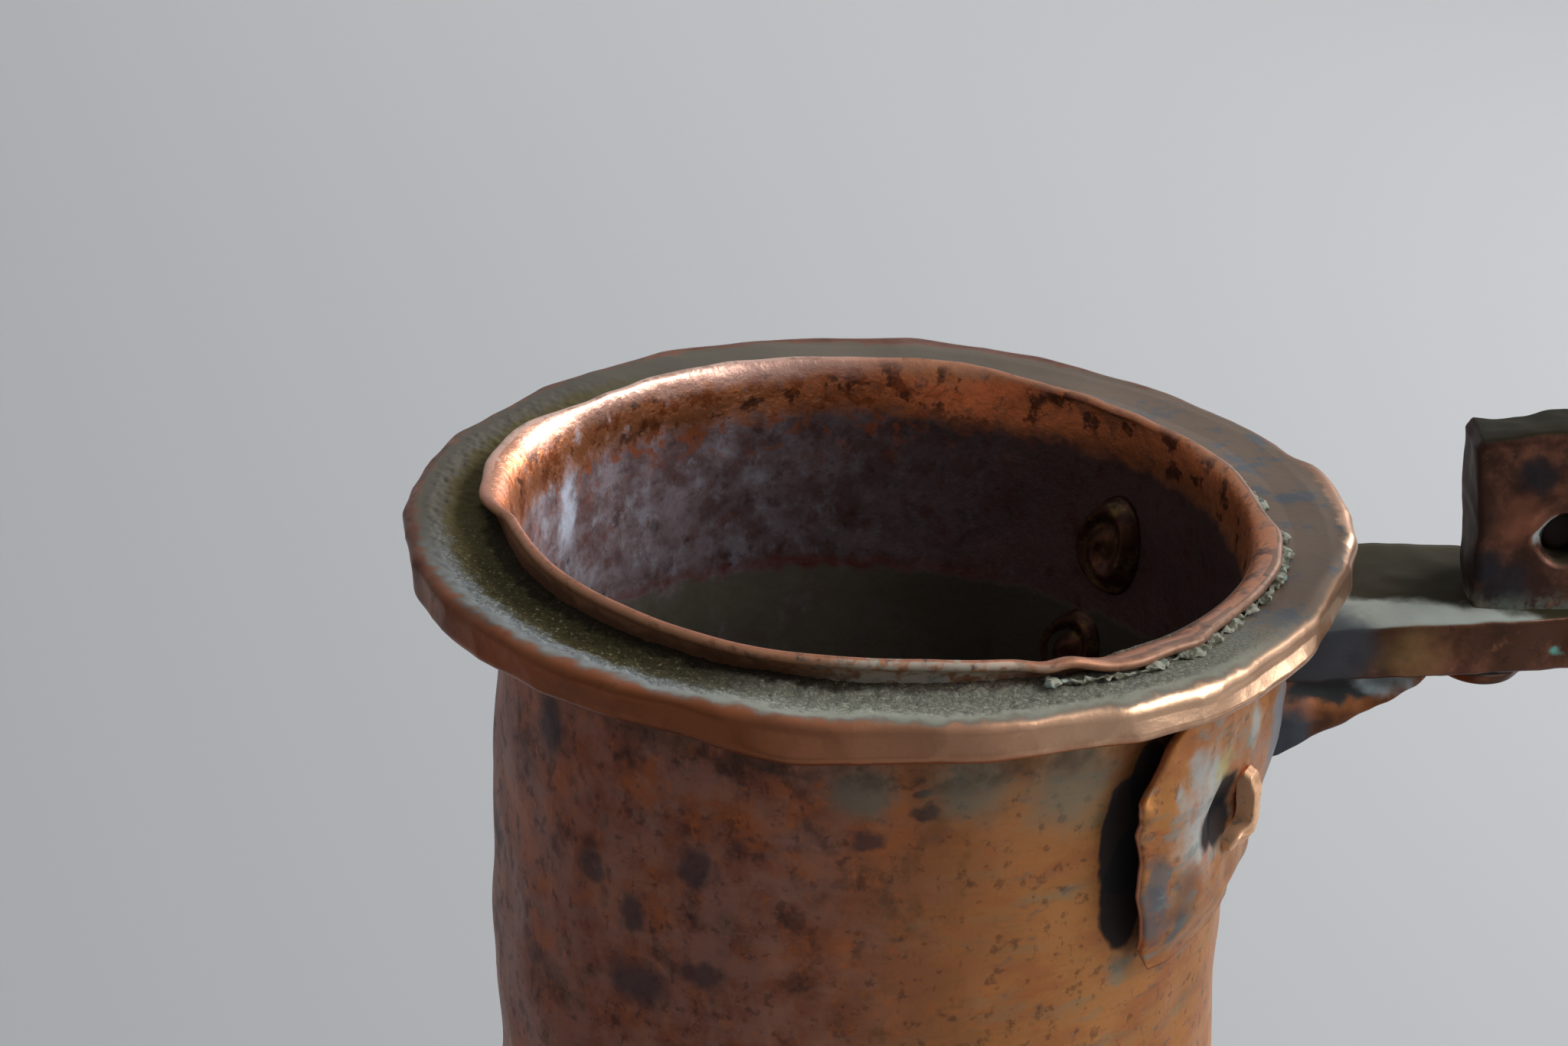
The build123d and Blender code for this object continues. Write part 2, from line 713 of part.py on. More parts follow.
def belly_rivets(spots, outer_face, shank, head, head_height):
    """Rivets along X through the belly: peened heads inside and on an outer face."""
    for y, height in spots:
        inside = belly_reach(height, y) - wall - head_height
        disc(Plane(origin=(inside, y, height), z_dir=(1, 0, 0)), head, head_height + wall / 2)
        start = outer_face(height, y) - belly_plate_sheet / 2
        disc(Plane(origin=(start, y, height), z_dir=(1, 0, 0)), head, head_height + belly_plate_sheet / 2)
    belly_layer(-belly_plate_sheet, wall, Mode.SUBTRACT)
    for y, height in spots:
        inside = belly_reach(height, y) - wall - head_height / 2
        length = outer_face(height, y) + head_height / 2 - inside
        disc(Plane(origin=(inside, y, height), z_dir=(1, 0, 0)), shank, length)


def palm_face(height, y):
    return palm_reach + bar_thickness / 2 + belly_plate_sheet / 2


def plate_surface(height, y):
    return belly_reach(height, y) + belly_plate_sheet


with BuildPart() as palm_rivets:
    belly_rivets(palm_spots, palm_face, palm_rivet_shank, palm_rivet_head, palm_rivet_head_height)

with BuildPart() as belly_plate_rivets:
    belly_rivets(corner_spots, plate_surface, belly_rivet_shank, belly_rivet_head, belly_rivet_head_height)

# Spout tube, cut to sit on the belly round its hole
with BuildPart() as spout_tube:
    spout_solid(0)
    spout_solid(wall, Mode.SUBTRACT)
    belly_core(0, Mode.SUBTRACT)

# Saddle plate round the spout's root
with BuildPart() as spout_saddle:
    belly_layer(-saddle_sheet, 0)
    with BuildSketch(Plane(origin=spout_path @ 0, z_dir=spout_path % 0)):
        Circle(saddle_radius)
    extrude(amount=plenty, mode=Mode.INTERSECT)
    spout_solid(0, Mode.SUBTRACT)

# Rolled rim at the spout's mouth
with BuildPart() as spout_rim:
    with BuildSketch(Plane(origin=spout_path @ 1, z_dir=spout_path % 1)):
        Circle(spout_tip_radius + spout_lip_width)
        Circle(spout_tip_radius - wall, mode=Mode.SUBTRACT)
    extrude(amount=spout_lip_length)

fixed_pieces = {
    "neck_wall": neck_wall,
    "shoulder_shell": shoulder_shell,
    "belly_shell": belly_shell,
    "base_pan": base_pan,
    "collar_ring": collar_ring,
    "neck_plate": neck_plate,
    "neck_plate_rivets": neck_plate_rivets,
    "root_bracket": root_bracket,
    "handle_bar": handle_bar,
    "hinge_lug": hinge_lug,
    "hinge_pin": hinge_pin,
    "pin_washer": pin_washer,
    "belly_plate": belly_plate,
    "belly_plate_rivets": belly_plate_rivets,
    "palm_rivets": palm_rivets,
    "spout_tube": spout_tube,
    "spout_saddle": spout_saddle,
    "spout_rim": spout_rim,
}
lid_pieces = {
    "lid_dome": lid_dome,
    "lid_skirt": lid_skirt,
    "lid_knob": lid_knob,
    "knob_rivet": knob_rivet,
    "hinge_strap": hinge_strap,
    "strap_rivets": strap_rivets,
}
for piece in lid_pieces.values():
    piece.part = piece.part.rotate(hinge_axis, lid_open)

os.makedirs("parts", exist_ok=True)
for name, piece in {**fixed_pieces, **lid_pieces}.items():
    piece.part.label = name
    export_step(piece.part, f"parts/{name}.step")
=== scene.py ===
import json
from math import atan2, cos, degrees, pi, radians, sin, sqrt, tau

import bmesh
import bpy
import numpy as np
from mathutils import Matrix, Vector, noise


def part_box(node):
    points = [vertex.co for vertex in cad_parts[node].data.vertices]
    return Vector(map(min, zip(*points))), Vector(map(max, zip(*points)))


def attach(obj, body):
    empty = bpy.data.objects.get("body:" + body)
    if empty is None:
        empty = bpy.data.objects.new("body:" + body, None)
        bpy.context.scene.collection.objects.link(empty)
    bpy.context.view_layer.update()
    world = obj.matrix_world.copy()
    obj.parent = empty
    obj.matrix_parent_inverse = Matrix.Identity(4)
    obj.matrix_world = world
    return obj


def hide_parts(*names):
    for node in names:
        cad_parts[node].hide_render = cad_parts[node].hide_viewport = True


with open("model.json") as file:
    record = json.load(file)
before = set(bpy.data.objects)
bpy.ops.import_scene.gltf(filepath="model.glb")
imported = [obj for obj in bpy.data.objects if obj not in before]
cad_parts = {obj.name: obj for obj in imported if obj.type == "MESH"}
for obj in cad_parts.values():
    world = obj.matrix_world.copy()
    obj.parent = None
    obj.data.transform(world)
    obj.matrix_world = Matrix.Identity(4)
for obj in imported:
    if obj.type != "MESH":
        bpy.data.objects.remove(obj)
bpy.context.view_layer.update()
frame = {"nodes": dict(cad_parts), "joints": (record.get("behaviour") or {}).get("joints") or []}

# An old hand raised copper tea kettle. Lengths are in mm and turned to metres where a mesh is laid.
# Most heights are given from the top of the collar ring, and turns in degrees from the handle.
MM = 0.001
weld = 0.001
# The hammer's blows fall in the same places in every run
noise.seed_set(1)


def corners(node):
    """Lowest and highest corner of a CAD node in mm."""
    return [np.array(corner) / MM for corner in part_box(node)]


# Sizes from the frame
ring_low, ring_high = corners("collar_ring")
rim = ring_high[2]
ring_radius = ring_high[0]
ring_foot = ring_low[2] - rim
plate_top = corners("neck_plate")[1][2]
bar_low, bar_high = corners("handle_bar")
bar_front = bar_low[1]
bar_top = bar_high[2]
lug_front = corners("hinge_lug")[0][1]
pin_low, pin_high = corners("hinge_pin")
pin_x, _, pin_z = np.array(frame["joints"][0]["pos_m"]) / MM

# Sizes of the copper body
sheet = 1.2
neck_radius = 41.85
belly_radius = corners("belly_shell")[1][1]
belly_height = 72.0
upper_curve = 62.0
shoulder_curve = 50.0


# Numbers round the kettle
def around(marks, blur, step=0.5, reach=20):
    """A value that changes smoothly round the kettle, from marks of degrees and value.
    The blur, step and reach are in degrees."""
    turns = np.arange(0, 360, step)
    raw = np.interp(turns, *zip(*sorted(marks.items())), period=360)
    places = np.arange(-int(reach / step), int(reach / step) + 1)
    weights = np.exp(-((places * step / blur) ** 2))
    smooth = sum(weight * np.roll(raw, place) for weight, place in zip(weights / weights.sum(), places))
    return lambda turn: np.interp(turn, turns, smooth, period=360)


def flats(marks, blur):
    """The radius of a ring hammered into flats between its corners."""
    spots = np.array([[r * cos(radians(a)), r * sin(radians(a))] for a, r in sorted(marks.items())])
    share = np.linspace(0, 1, 30, endpoint=False)[:, None]
    line = np.concatenate([a + (b - a) * share for a, b in zip(spots, np.roll(spots, -1, axis=0))])
    turns = np.degrees(np.arctan2(line[:, 1], line[:, 0]))
    order = np.argsort(turns)
    return around(dict(zip(turns[order], np.hypot(*line.T)[order])), blur)


def ease(value, low, high):
    """0 below low, 1 above high and smooth between."""
    share = np.clip((value - low) / (high - low), 0, 1)
    return share * share * (3 - 2 * share)


def bell(distance, width):
    """1 in the middle, fading to 0 past the width."""
    return np.exp(-((distance / width) ** 2))


# Hammer work
def drawn(points, size, seed, draw, apart=(31.7, 17.3, 7.9)):
    """What a noise gives at each point, with a place of its own in the noise for each seed."""
    shift = Vector([seed * far for far in apart])
    return np.array([draw(Vector(point) / size + shift) for point in points.reshape(-1, 3)])


def lumps(points, size, seed):
    """Soft uneven swelling with lumps of one size, from about -1 to 1."""
    return 2 * drawn(points, size, seed, noise.noise).reshape(points.shape[:-1])


def blows(points, size, seed):
    """Shallow dishes left by a hammer, from 0 in a dish to about 1 on the ridges."""
    off = drawn(points, size, seed, lambda place: noise.voronoi(place)[0][0], (13.1, 27.7, 5.3))
    return np.minimum(off.reshape(points.shape[:-1]) ** 2 * 1.6, 1.0)


def knocked(points, size, depth, seed):
    """Points pushed about by soft uneven blows of one size."""
    return points + depth * drawn(points, size, seed, noise.noise_vector).reshape(points.shape)


# Mesh work
def lay(name, grids, closed, metal, body, slot, *nodes):
    """A finished piece from grids of points in mm: welded, facing outwards, and riding on its body."""
    points, faces = [], []
    for grid in grids:
        faces += skin(*grid.shape[:2], closed, len(points))
        points += (grid.reshape(-1, 3) * MM).tolist()
    mesh = bpy.data.meshes.new(name)
    mesh.from_pydata(points, [], faces)
    work = bmesh.new()
    work.from_mesh(mesh)
    bmesh.ops.remove_doubles(work, verts=work.verts, dist=weld * MM)
    bmesh.ops.recalc_face_normals(work, faces=work.faces)
    work.to_mesh(mesh)
    work.free()
    mesh.shade_smooth()
    piece = bpy.data.objects.new(name, mesh)
    bpy.context.scene.collection.objects.link(piece)
    mesh.materials.append(metal)
    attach(piece, body)
    if nodes:
        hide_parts(*nodes)
    return piece


def skin(rows, columns, closed, first):
    """Faces that join rows of points, each a closed loop. The ends meet or are capped."""
    index = first + np.arange(rows * columns).reshape(rows, columns)
    near, far = (index, np.roll(index, -1, axis=0)) if closed else (index[:-1], index[1:])
    faces = np.stack([near, np.roll(near, -1, 1), np.roll(far, -1, 1), far], -1).reshape(-1, 4).tolist()
    if not closed:
        faces += [index[0][::-1].tolist(), index[-1].tolist()]
    return faces


def polar(turn, reach, height):
    """Points from degrees, distance from the kettle's axis and height above the table."""
    turn, reach, height = np.broadcast_arrays(np.radians(turn), reach, height)
    return np.stack([reach * np.cos(turn), reach * np.sin(turn), height], -1)


def sheet_loop(middle, thick, arc_steps=4):
    """Closed outlines of sheets whose middle lines run along the second axis."""
    along = np.gradient(middle, axis=1)
    along /= np.linalg.norm(along, axis=-1, keepdims=True) + 1e-9
    across = np.stack([along[..., 1], -along[..., 0]], -1) * thick / 2
    arcs = []
    for end, sign in ((-1, 1), (0, -1)):
        bend = np.linspace(0, pi, arc_steps + 2)[1:-1, None]
        lead = along[:, end, None] * thick / 2 * sign
        side = across[:, end, None] * sign
        arcs.append(middle[:, end, None] + side * np.cos(bend) + lead * np.sin(bend))
    return np.concatenate([middle + across, arcs[0], (middle - across)[:, ::-1], arcs[1]], 1)


def bent(marks, radii, step=0.8):
    """Points along a line through marks (x, z), with a round bend at each inner one."""
    marks = [np.array(mark, float) for mark in marks]
    path, start = [], marks[0]
    for here, after, radius in zip(marks[1:-1], marks[2:], radii):
        into = (here - start) / np.linalg.norm(here - start)
        out = (after - here) / np.linalg.norm(after - here)
        cross = into[0] * out[1] - into[1] * out[0]
        turn = atan2(cross, into @ out)
        begin = here - into * radius * abs(np.tan(turn / 2))
        centre = begin + np.sign(cross) * radius * np.array([-into[1], into[0]])
        count = max(2, int(np.linalg.norm(begin - start) / step))
        path += list(np.linspace(start, begin, count, endpoint=False))
        for angle in np.linspace(0, turn, max(3, int(abs(turn) * radius / step)), endpoint=False):
            spin = np.array([[cos(angle), -sin(angle)], [sin(angle), cos(angle)]])
            path.append(centre + spin @ (begin - centre))
        start = here + out * radius * abs(np.tan(turn / 2))
    count = max(2, int(np.linalg.norm(marks[-1] - start) / step))
    return np.array(path + list(np.linspace(start, marks[-1], count)))


def swept(path, section, up):
    """Loops of points: a flat section (across, up) at each point of a path in space."""
    along = np.gradient(path, axis=0)
    along /= np.linalg.norm(along, axis=1, keepdims=True)
    side = np.cross(along, np.asarray(up, float))
    side /= np.linalg.norm(side, axis=1, keepdims=True)
    rise = np.cross(side, along)
    return path[:, None] + section[..., :1] * rise[:, None] + section[..., 1:] * side[:, None]


def rounded(half_width, half_height, corner, count=72):
    """A rectangle with round corners as points."""
    turn = np.linspace(0, tau, count, endpoint=False) + pi / 4
    wide, high = np.cos(turn), np.sin(turn)
    push = 1 / np.maximum(abs(wide), abs(high))
    box = np.stack([wide * push * half_width, high * push * half_height], -1)
    inner = np.array([half_width - corner, half_height - corner])
    core = np.clip(box, -inner, inner)
    out = box - core
    return core + out / (np.linalg.norm(out, axis=-1, keepdims=True) + 1e-9) * corner


def even_outline(marks, count=300):
    """Evenly spaced points round a closed outline."""
    ring = np.concatenate([marks, marks[:1]])
    run = np.concatenate([[0], np.cumsum(np.linalg.norm(np.diff(ring, axis=0), axis=1))])
    even = np.linspace(0, run[-1], count, endpoint=False)
    return np.stack([np.interp(even, run, ring[:, i]) for i in (0, 1)], -1)


def block(outline, middle, front, back, corner, hole=0.0, mouth=0.0, mouth_depth=1.3):
    """Loops of a forged block from its front face's middle, or hole, over the edges to its back.
    The outline is (x, z) and the block runs along y."""
    edge = even_outline(outline - middle)
    far = np.linalg.norm(edge, axis=1)[None]
    ray = edge / far.T
    quarter = np.radians(np.linspace(0, 90, 6))
    steps = []
    if hole:
        steps += [(hole + 0 * far, back), (hole + 0 * far, front + mouth_depth)]
    steps += [(mouth + (far - corner - mouth) * share, front) for share in np.linspace(0, 1, 30)]
    steps += [(far - corner + corner * sin(q), front + corner - corner * cos(q)) for q in quarter[1:]]
    steps += [(far, depth) for depth in np.linspace(front + corner, back - corner, 16)[1:-1]]
    steps += [(far - corner + corner * cos(q), back - corner + corner * sin(q)) for q in quarter]
    steps += [(hole + (far - corner - hole) * share, back) for share in np.linspace(1, 0, 16)[1:]]
    reach = np.concatenate([reach for reach, _ in steps])
    depth = np.broadcast_to(np.array([depth for _, depth in steps])[:, None], reach.shape)
    return np.stack([middle[0] + reach * ray[:, 0], depth, middle[1] + reach * ray[:, 1]], -1)


def head(centre, out, wide, high, rise, curl=0.0, curve=0.0, seed=0):
    """Loops of a peened rivet head that stands on a surface, with a curl struck into it."""
    out = np.array(out, float) / np.linalg.norm(out)
    side = np.cross([0, 0, 1], out)
    side /= np.linalg.norm(side)
    up = np.cross(out, side)
    share = np.concatenate([np.linspace(0, 0.9, 22), np.linspace(0.92, 1, 6)])[:, None]
    turn = np.radians(np.arange(0, 360, 4))[None]
    uneven = 1 + 0.08 * np.sin(2 * turn + seed) + 0.05 * np.sin(3 * turn + 2.1 * seed)
    across, along = wide * share * uneven * np.cos(turn), high * share * uneven * np.sin(turn)
    lift = rise * np.sqrt(np.clip(1 - share**3, 0, 1)) + 0 * turn
    lift += curl * np.sin(turn - 7.5 * share + seed) * bell(share - 0.55, 0.3)
    lift += curve * across**2 - 0.5 * ease(share, 0.9, 1.0)
    return np.asarray(centre) + across[..., None] * side + along[..., None] * up + lift[..., None] * out


# Node work
def add(tree, kind, sockets=None, **settings):
    """Adds a shader node with its settings, and its sockets' values or links."""
    made = tree.nodes.new("ShaderNode" + kind)
    for key, value in settings.items():
        setattr(made, key, value)
    for key, value in (sockets or {}).items():
        if isinstance(value, bpy.types.NodeSocket):
            tree.links.new(value, made.inputs[key])
        else:
            made.inputs[key].default_value = value
    return made


def shade(hexed):
    """An sRGB hex colour as the linear colour that Blender works in."""
    parts = [int(hexed[i : i + 2], 16) / 255 for i in (1, 3, 5)]
    return [p / 12.92 if p <= 0.04045 else ((p + 0.055) / 1.055) ** 2.4 for p in parts] + [1.0]


class Finish:
    """A surface built up in coats, with its places measured in mm in the kettle's own frame."""

    def __init__(self, name, colour, rough, metal):
        self.material = bpy.data.materials.new(name)
        self.material.use_nodes = True
        self.tree = self.material.node_tree
        self.shader = self.tree.nodes["Principled BSDF"]
        self.shader.inputs["Specular IOR Level"].default_value = 0.25
        where = add(self.tree, "TexCoord").outputs
        in_mm = {0: where["Object"], "Scale": 1 / MM}
        self.place = add(self.tree, "VectorMath", in_mm, operation="SCALE").outputs[0]
        self.normal = where["Normal"]
        self.facing = add(self.tree, "SeparateXYZ", {0: self.normal}).outputs
        wander = add(self.tree, "TexNoise", {"Vector": self.place, "Scale": 1 / 2.5, "Detail": 3.0})
        both_ways = {0: wander.outputs["Color"], 1: (0.5, 0.5, 0.5)}
        self.pull = add(self.tree, "VectorMath", both_ways, operation="SUBTRACT").outputs[0]
        self.ragged = self.strayed(3.2)
        self.x, self.y, self.z = add(self.tree, "SeparateXYZ", {0: self.ragged}).outputs
        flat = add(self.tree, "VectorMath", {0: self.ragged, 1: (1, 1, 0)}, operation="MULTIPLY").outputs[0]
        self.reach = add(self.tree, "VectorMath", {0: flat}, operation="LENGTH").outputs["Value"]
        self.bearing = add(self.tree, "VectorMath", {0: flat}, operation="NORMALIZE").outputs[0]
        self.up = self.between(self.facing[2], 0.5, 0.9)
        self.colour = add(self.tree, "RGB").outputs[0]
        self.colour.default_value = shade(colour)
        self.rough = add(self.tree, "Value").outputs[0]
        self.rough.default_value = rough
        self.metal = add(self.tree, "Value").outputs[0]
        self.metal.default_value = metal
        self.height = None

    def strayed(self, far):
        """Places that stray by some mm, for ragged edges."""
        pull = add(self.tree, "VectorMath", {0: self.pull, "Scale": far}, operation="SCALE").outputs[0]
        return add(self.tree, "VectorMath", {0: self.place, 1: pull}, operation="ADD").outputs[0]

    def between(self, value, low, high):
        """0 at low, 1 at high, smooth between."""
        sockets = {"Value": value, "From Min": low, "From Max": high}
        return add(self.tree, "MapRange", sockets, interpolation_type="SMOOTHSTEP").outputs[0]

    def band(self, value, low, high, soft):
        """1 from low to high, with soft ends."""
        rise = self.between(value, low - soft, low + soft)
        return self.times(rise, self.between(value, high + soft, high - soft))

    def towards(self, way, other, low, high):
        """0 where two directions agree by the low share and 1 by the high one, from -1 to 1."""
        agree = add(self.tree, "VectorMath", {0: way, 1: other}, operation="DOT_PRODUCT").outputs["Value"]
        return self.between(agree, low, high)

    def sector(self, bearing, half, soft):
        """The side of the kettle within some degrees of a bearing."""
        way = (cos(radians(bearing)), sin(radians(bearing)), 0)
        outer, inner = min(half + soft, 180), max(half - soft, 0)
        return self.towards(self.bearing, way, cos(radians(outer)), cos(radians(inner)))

    def times(self, *masks):
        """Masks that all have to agree."""
        made = masks[0]
        for mask in masks[1:]:
            made = add(self.tree, "Math", {0: made, 1: mask}, operation="MULTIPLY").outputs[0]
        return made

    def blotches(self, size, low, high, seed, stretch=(1, 1, 1), lean=0.0):
        """Random blotches of one size in mm: 0 below low, 1 above high."""
        sockets = {"Vector": self.place, "Location": (seed * 37.1, seed * 11.9, seed * 23.3)}
        sockets |= {"Scale": stretch, "Rotation": (0, radians(lean), 0)}
        moved = add(self.tree, "Mapping", sockets).outputs[0]
        sockets = {"Vector": moved, "Scale": 1 / size, "Detail": 7.0, "Roughness": 0.62}
        return self.between(add(self.tree, "TexNoise", sockets).outputs[0], low, high)

    def near(self, centre, inner, outer, stretch=(1, 1, 1), stray=None):
        """A ragged patch round a place in mm."""
        ragged = self.ragged if stray is None else self.strayed(stray)
        off = add(self.tree, "VectorMath", {0: ragged, 1: tuple(centre)}, operation="SUBTRACT").outputs[0]
        stretched = add(self.tree, "VectorMath", {0: off, 1: stretch}, operation="MULTIPLY").outputs[0]
        far = add(self.tree, "VectorMath", {0: stretched}, operation="LENGTH").outputs["Value"]
        return self.between(far, outer, inner)

    def coat(self, colour, cover, *masks, rough=None, metal=None):
        """Lays a coat of colour, up to a cover from 0 to 1, where all its masks agree."""
        share = add(self.tree, "Math", {0: self.times(*masks), 1: cover}, operation="MULTIPLY").outputs[0]
        blend = {0: share, 6: self.colour, 7: shade(colour)}
        self.colour = add(self.tree, "Mix", blend, data_type="RGBA").outputs[2]
        if rough is not None:
            self.rough = add(self.tree, "Mix", {0: share, 2: self.rough, 3: rough}).outputs[0]
        if metal is not None:
            self.metal = add(self.tree, "Mix", {0: share, 2: self.metal, 3: metal}).outputs[0]

    def relief(self, mask, depth):
        """Raises the surface by a depth in mm where the mask is, for its shading alone."""
        step = add(self.tree, "Math", {0: mask, 1: depth * MM}, operation="MULTIPLY").outputs[0]
        if self.height is not None:
            step = add(self.tree, "Math", {0: self.height, 1: step}, operation="ADD").outputs[0]
        self.height = step

    def planished(self, size, depth):
        """Shallow dishes left by a planishing hammer."""
        cells = add(self.tree, "TexVoronoi", {"Vector": self.place, "Scale": 1 / size}).outputs["Distance"]
        self.relief(add(self.tree, "Math", {0: cells, 1: 2.0}, operation="POWER").outputs[0], depth)

    def done(self):
        """The material, with each value that is the same all over set on the shader itself."""
        ends = {"Base Color": self.colour, "Roughness": self.rough, "Metallic": self.metal}
        for socket, made in ends.items():
            if made.node.bl_idname in ("ShaderNodeRGB", "ShaderNodeValue"):
                self.shader.inputs[socket].default_value = made.default_value
            else:
                self.tree.links.new(made, self.shader.inputs[socket])
        if self.height is not None:
            bump = add(self.tree, "Bump", {"Height": self.height, "Distance": 1.0, "Strength": 1.0})
            self.tree.links.new(bump.outputs[0], self.shader.inputs["Normal"])
        return self.material


def on_neck(turn, drop, reach=neck_radius):
    """A place on the neck from degrees and distance below the collar ring's top, in mm."""
    return (reach * cos(radians(turn)), reach * sin(radians(turn)), rim - drop)


# Finishes: copper worked in each way, with what lies on it
def raised_copper(name, lit_and_worn=1.0):
    """Copper sheet raised with a hammer. Its shallow dents break up the highlights and a brown patina
    dulls it. On the handle's side, towards the window, it is painted tan, partly rubbed wear and partly
    painted light, with grey streaks that lean downwards."""
    made = Finish(name, "#8a5340", 0.42, 0.7)
    rise = {"Value": made.z, "From Min": 105.0, "From Max": 150.0, "To Min": 0.35 * lit_and_worn, "To Max": lit_and_worn}
    # The handle's side, towards the window, is painted tan: rubbed wear and painted light
    rubbed_and_lit = made.times(made.sector(-10, 74, 30), add(made.tree, "MapRange", rise).outputs[0])
    made.coat("#ab5f36", 0.7, made.blotches(6.0, 0.48, 0.64, 1))
    made.coat("#8d675c", 0.55, made.blotches(7.0, 0.52, 0.66, 8, (1, 1, 1.5)))
    made.coat("#43302f", 0.65, made.blotches(8.0, 0.53, 0.66, 2), rough=0.5)
    made.coat("#3b2b2c", 0.6, made.blotches(3.5, 0.54, 0.66, 15, (1, 1, 0.8)), rough=0.55)
    # Pinkish patches on the front left side: a painted sheen
    made.coat("#a87d6c", 0.45, made.sector(-128, 24, 18), made.blotches(5.0, 0.4, 0.6, 16))
    made.coat("#bd8149", 0.9, rubbed_and_lit)
    made.coat("#a3603e", 0.6, rubbed_and_lit, made.blotches(7.0, 0.46, 0.64, 9, (0.6, 0.6, 1.5), 30))
    made.coat("#8a8064", 0.55, rubbed_and_lit, made.blotches(5.0, 0.52, 0.7, 3, (0.5, 0.5, 2.0), 38))
    made.coat("#55575a", 0.5, rubbed_and_lit, made.blotches(3.0, 0.58, 0.68, 10, (0.7, 0.7, 1.6), 38))
    made.coat("#35272a", 0.45, made.blotches(1.6, 0.56, 0.66, 4), rough=0.55)
    made.coat("#b8683e", 0.5, made.blotches(1.6, 0.57, 0.68, 5))
    streak = made.blotches(1.2, 0.5, 0.7, 6, (0.25, 0.25, 1.6))
    made.coat("#4b3830", 0.12, streak)
    made.relief(made.blotches(0.7, 0.3, 0.8, 7), 0.015)
    made.relief(streak, 0.004)
    made.planished(8.0, 0.25)
    return made


def stained_neck():
    """The outside of the neck: black spots, a green bloom under the ring, a blotchy band of painted shade
    below the ring, and black behind the plate's lifted edge, painted grime and shadow."""
    made = raised_copper("raised_copper_neck")
    spots = (
        (-134.2, 32.7, 2.2, 0.7), (-133.5, 41.2, 5.5, 1.4), (-122.6, 37.9, 3.6, 1.7),
        (-124.4, 25.1, 2.8, 0.8), (-153.9, 16.2, 3.4, 0.7), (-98.8, 19.1, 2.4, 1.5),
        (-90.3, 15.8, 2.0, 1.8), (-91.0, 13.0, 1.8, 1.8), (-142.6, 29.3, 3.0, 1),
    )
    for turn, drop, size, squeeze in spots:
        spot = made.near(on_neck(turn, drop), size * 0.4, size, (1, 1, squeeze))
        made.coat("#302c33", 0.7, spot, rough=0.5, metal=0.35)
    blooms = ((-99.7, 13, 5.0), (-84, 12, 6.5), (-68, 14, 8.0), (-55.9, 39.4, 3.0), (-39.3, 40.1, 3.5))
    for turn, drop, size in blooms:
        bloom = made.near(on_neck(turn, drop), size * 0.3, size)
        made.coat("#6d7a6c", 0.6, bloom, rough=0.6, metal=0.2)
    # A blotchy band of painted shade under the collar ring
    shade_under_ring = made.band(made.z, rim - 12.5, rim - 4.0, 1.5)
    made.coat("#3a3026", 0.5, shade_under_ring, made.blotches(4.0, 0.35, 0.6, 12), rough=0.7, metal=0.3)
    # Black behind the plate's lifted edge: grime and painted shadow
    gaps = ((-57.6, 22.5, 3.9, 0.48), (-56.4, 29.5, 3.8, 0.48), (-53.5, 16.5, 3.0, 0.6))
    for turn, drop, size, squeeze in gaps:
        gap_grime_and_shade = made.near(on_neck(turn, drop), size * 0.86, size, (1, 1, squeeze), stray=1.4)
        made.coat("#262426", 0.96, gap_grime_and_shade, rough=0.8, metal=0.0)
    return made.done()


def oxide_and_lime():
    """The bore: oxide and lime scale make it dull and mottled. By the lip it was scoured, and shines
    orange. Below the old waterline it is a flat grey. Light is painted in: the side towards the window
    is lighter with pale painted highlights, a painted glare lies on the rim at the back and a painted
    glint on the wall at the back left, and the handle's side is painted dark as shade."""
    made = Finish("bore_oxide_and_lime", "#7a6160", 0.42, 0.3)
    # The side towards the window is painted lighter, with pale painted highlights
    lit = made.sector(150, 75, 35)
    made.coat("#b0a5ad", 0.8, lit, made.blotches(4.5, 0.34, 0.66, 1))
    made.coat("#cdd6e2", 0.5, lit, made.blotches(2.8, 0.5, 0.72, 2, (1, 1, 0.7)))
    made.coat("#74402f", 0.6, made.blotches(3.0, 0.53, 0.68, 3))
    made.coat("#2a2024", 0.45, made.blotches(2.2, 0.55, 0.68, 4))
    # The handle's side, away from the window, is painted dark as shade
    made.coat("#241813", 0.7, made.sector(35, 55, 42))
    scoured = made.between(made.z, rim - 6.0, rim - 3.0)
    made.coat("#d98a5a", 0.95, scoured, made.blotches(2.0, 0.25, 0.5, 5), rough=0.32, metal=0.85)
    made.coat("#3a2a26", 0.8, scoured, made.blotches(3.0, 0.53, 0.62, 8))
    below_lip = made.between(made.z, rim - 12, rim - 5)
    made.coat("#a4582f", 0.8, lit, below_lip, made.blotches(2.5, 0.52, 0.6, 9))
    made.coat("#c98d6f", 0.8, made.between(made.z, rim + 0.3, rim + 1.8), rough=0.26, metal=0.95)
    # A painted glare on the rim at the back
    glare = made.times(made.sector(118, 26, 18), made.between(made.z, rim - 1.0, rim + 1.0))
    made.coat("#f0c4b4", 0.7, glare, rough=0.3)
    water = made.between(made.z, rim - 24.5, rim - 25.8)
    made.coat("#7c3c2c", 0.5, lit, made.band(made.z, rim - 25.2, rim - 23.6, 0.6))
    made.coat("#5d5a4a", 0.9, water, made.blotches(7.0, 0.25, 0.5, 6), rough=0.9, metal=0.0)
    # Below the waterline, painted darker towards the handle as shade
    made.coat("#29261f", 0.8, water, made.between(made.x, -5.0, 20.0), rough=0.8, metal=0.0)
    # A painted glint on the wall at the back left
    glint = made.near(on_neck(145, 9.5, 40.6), 0.5, 2.4, (1, 1, 0.3), stray=4.5)
    made.coat("#dfe9fb", 0.75, glint, rough=0.35, metal=0.1)
    made.relief(made.blotches(1.5, 0.3, 0.7, 7), 0.05)
    return made.done()


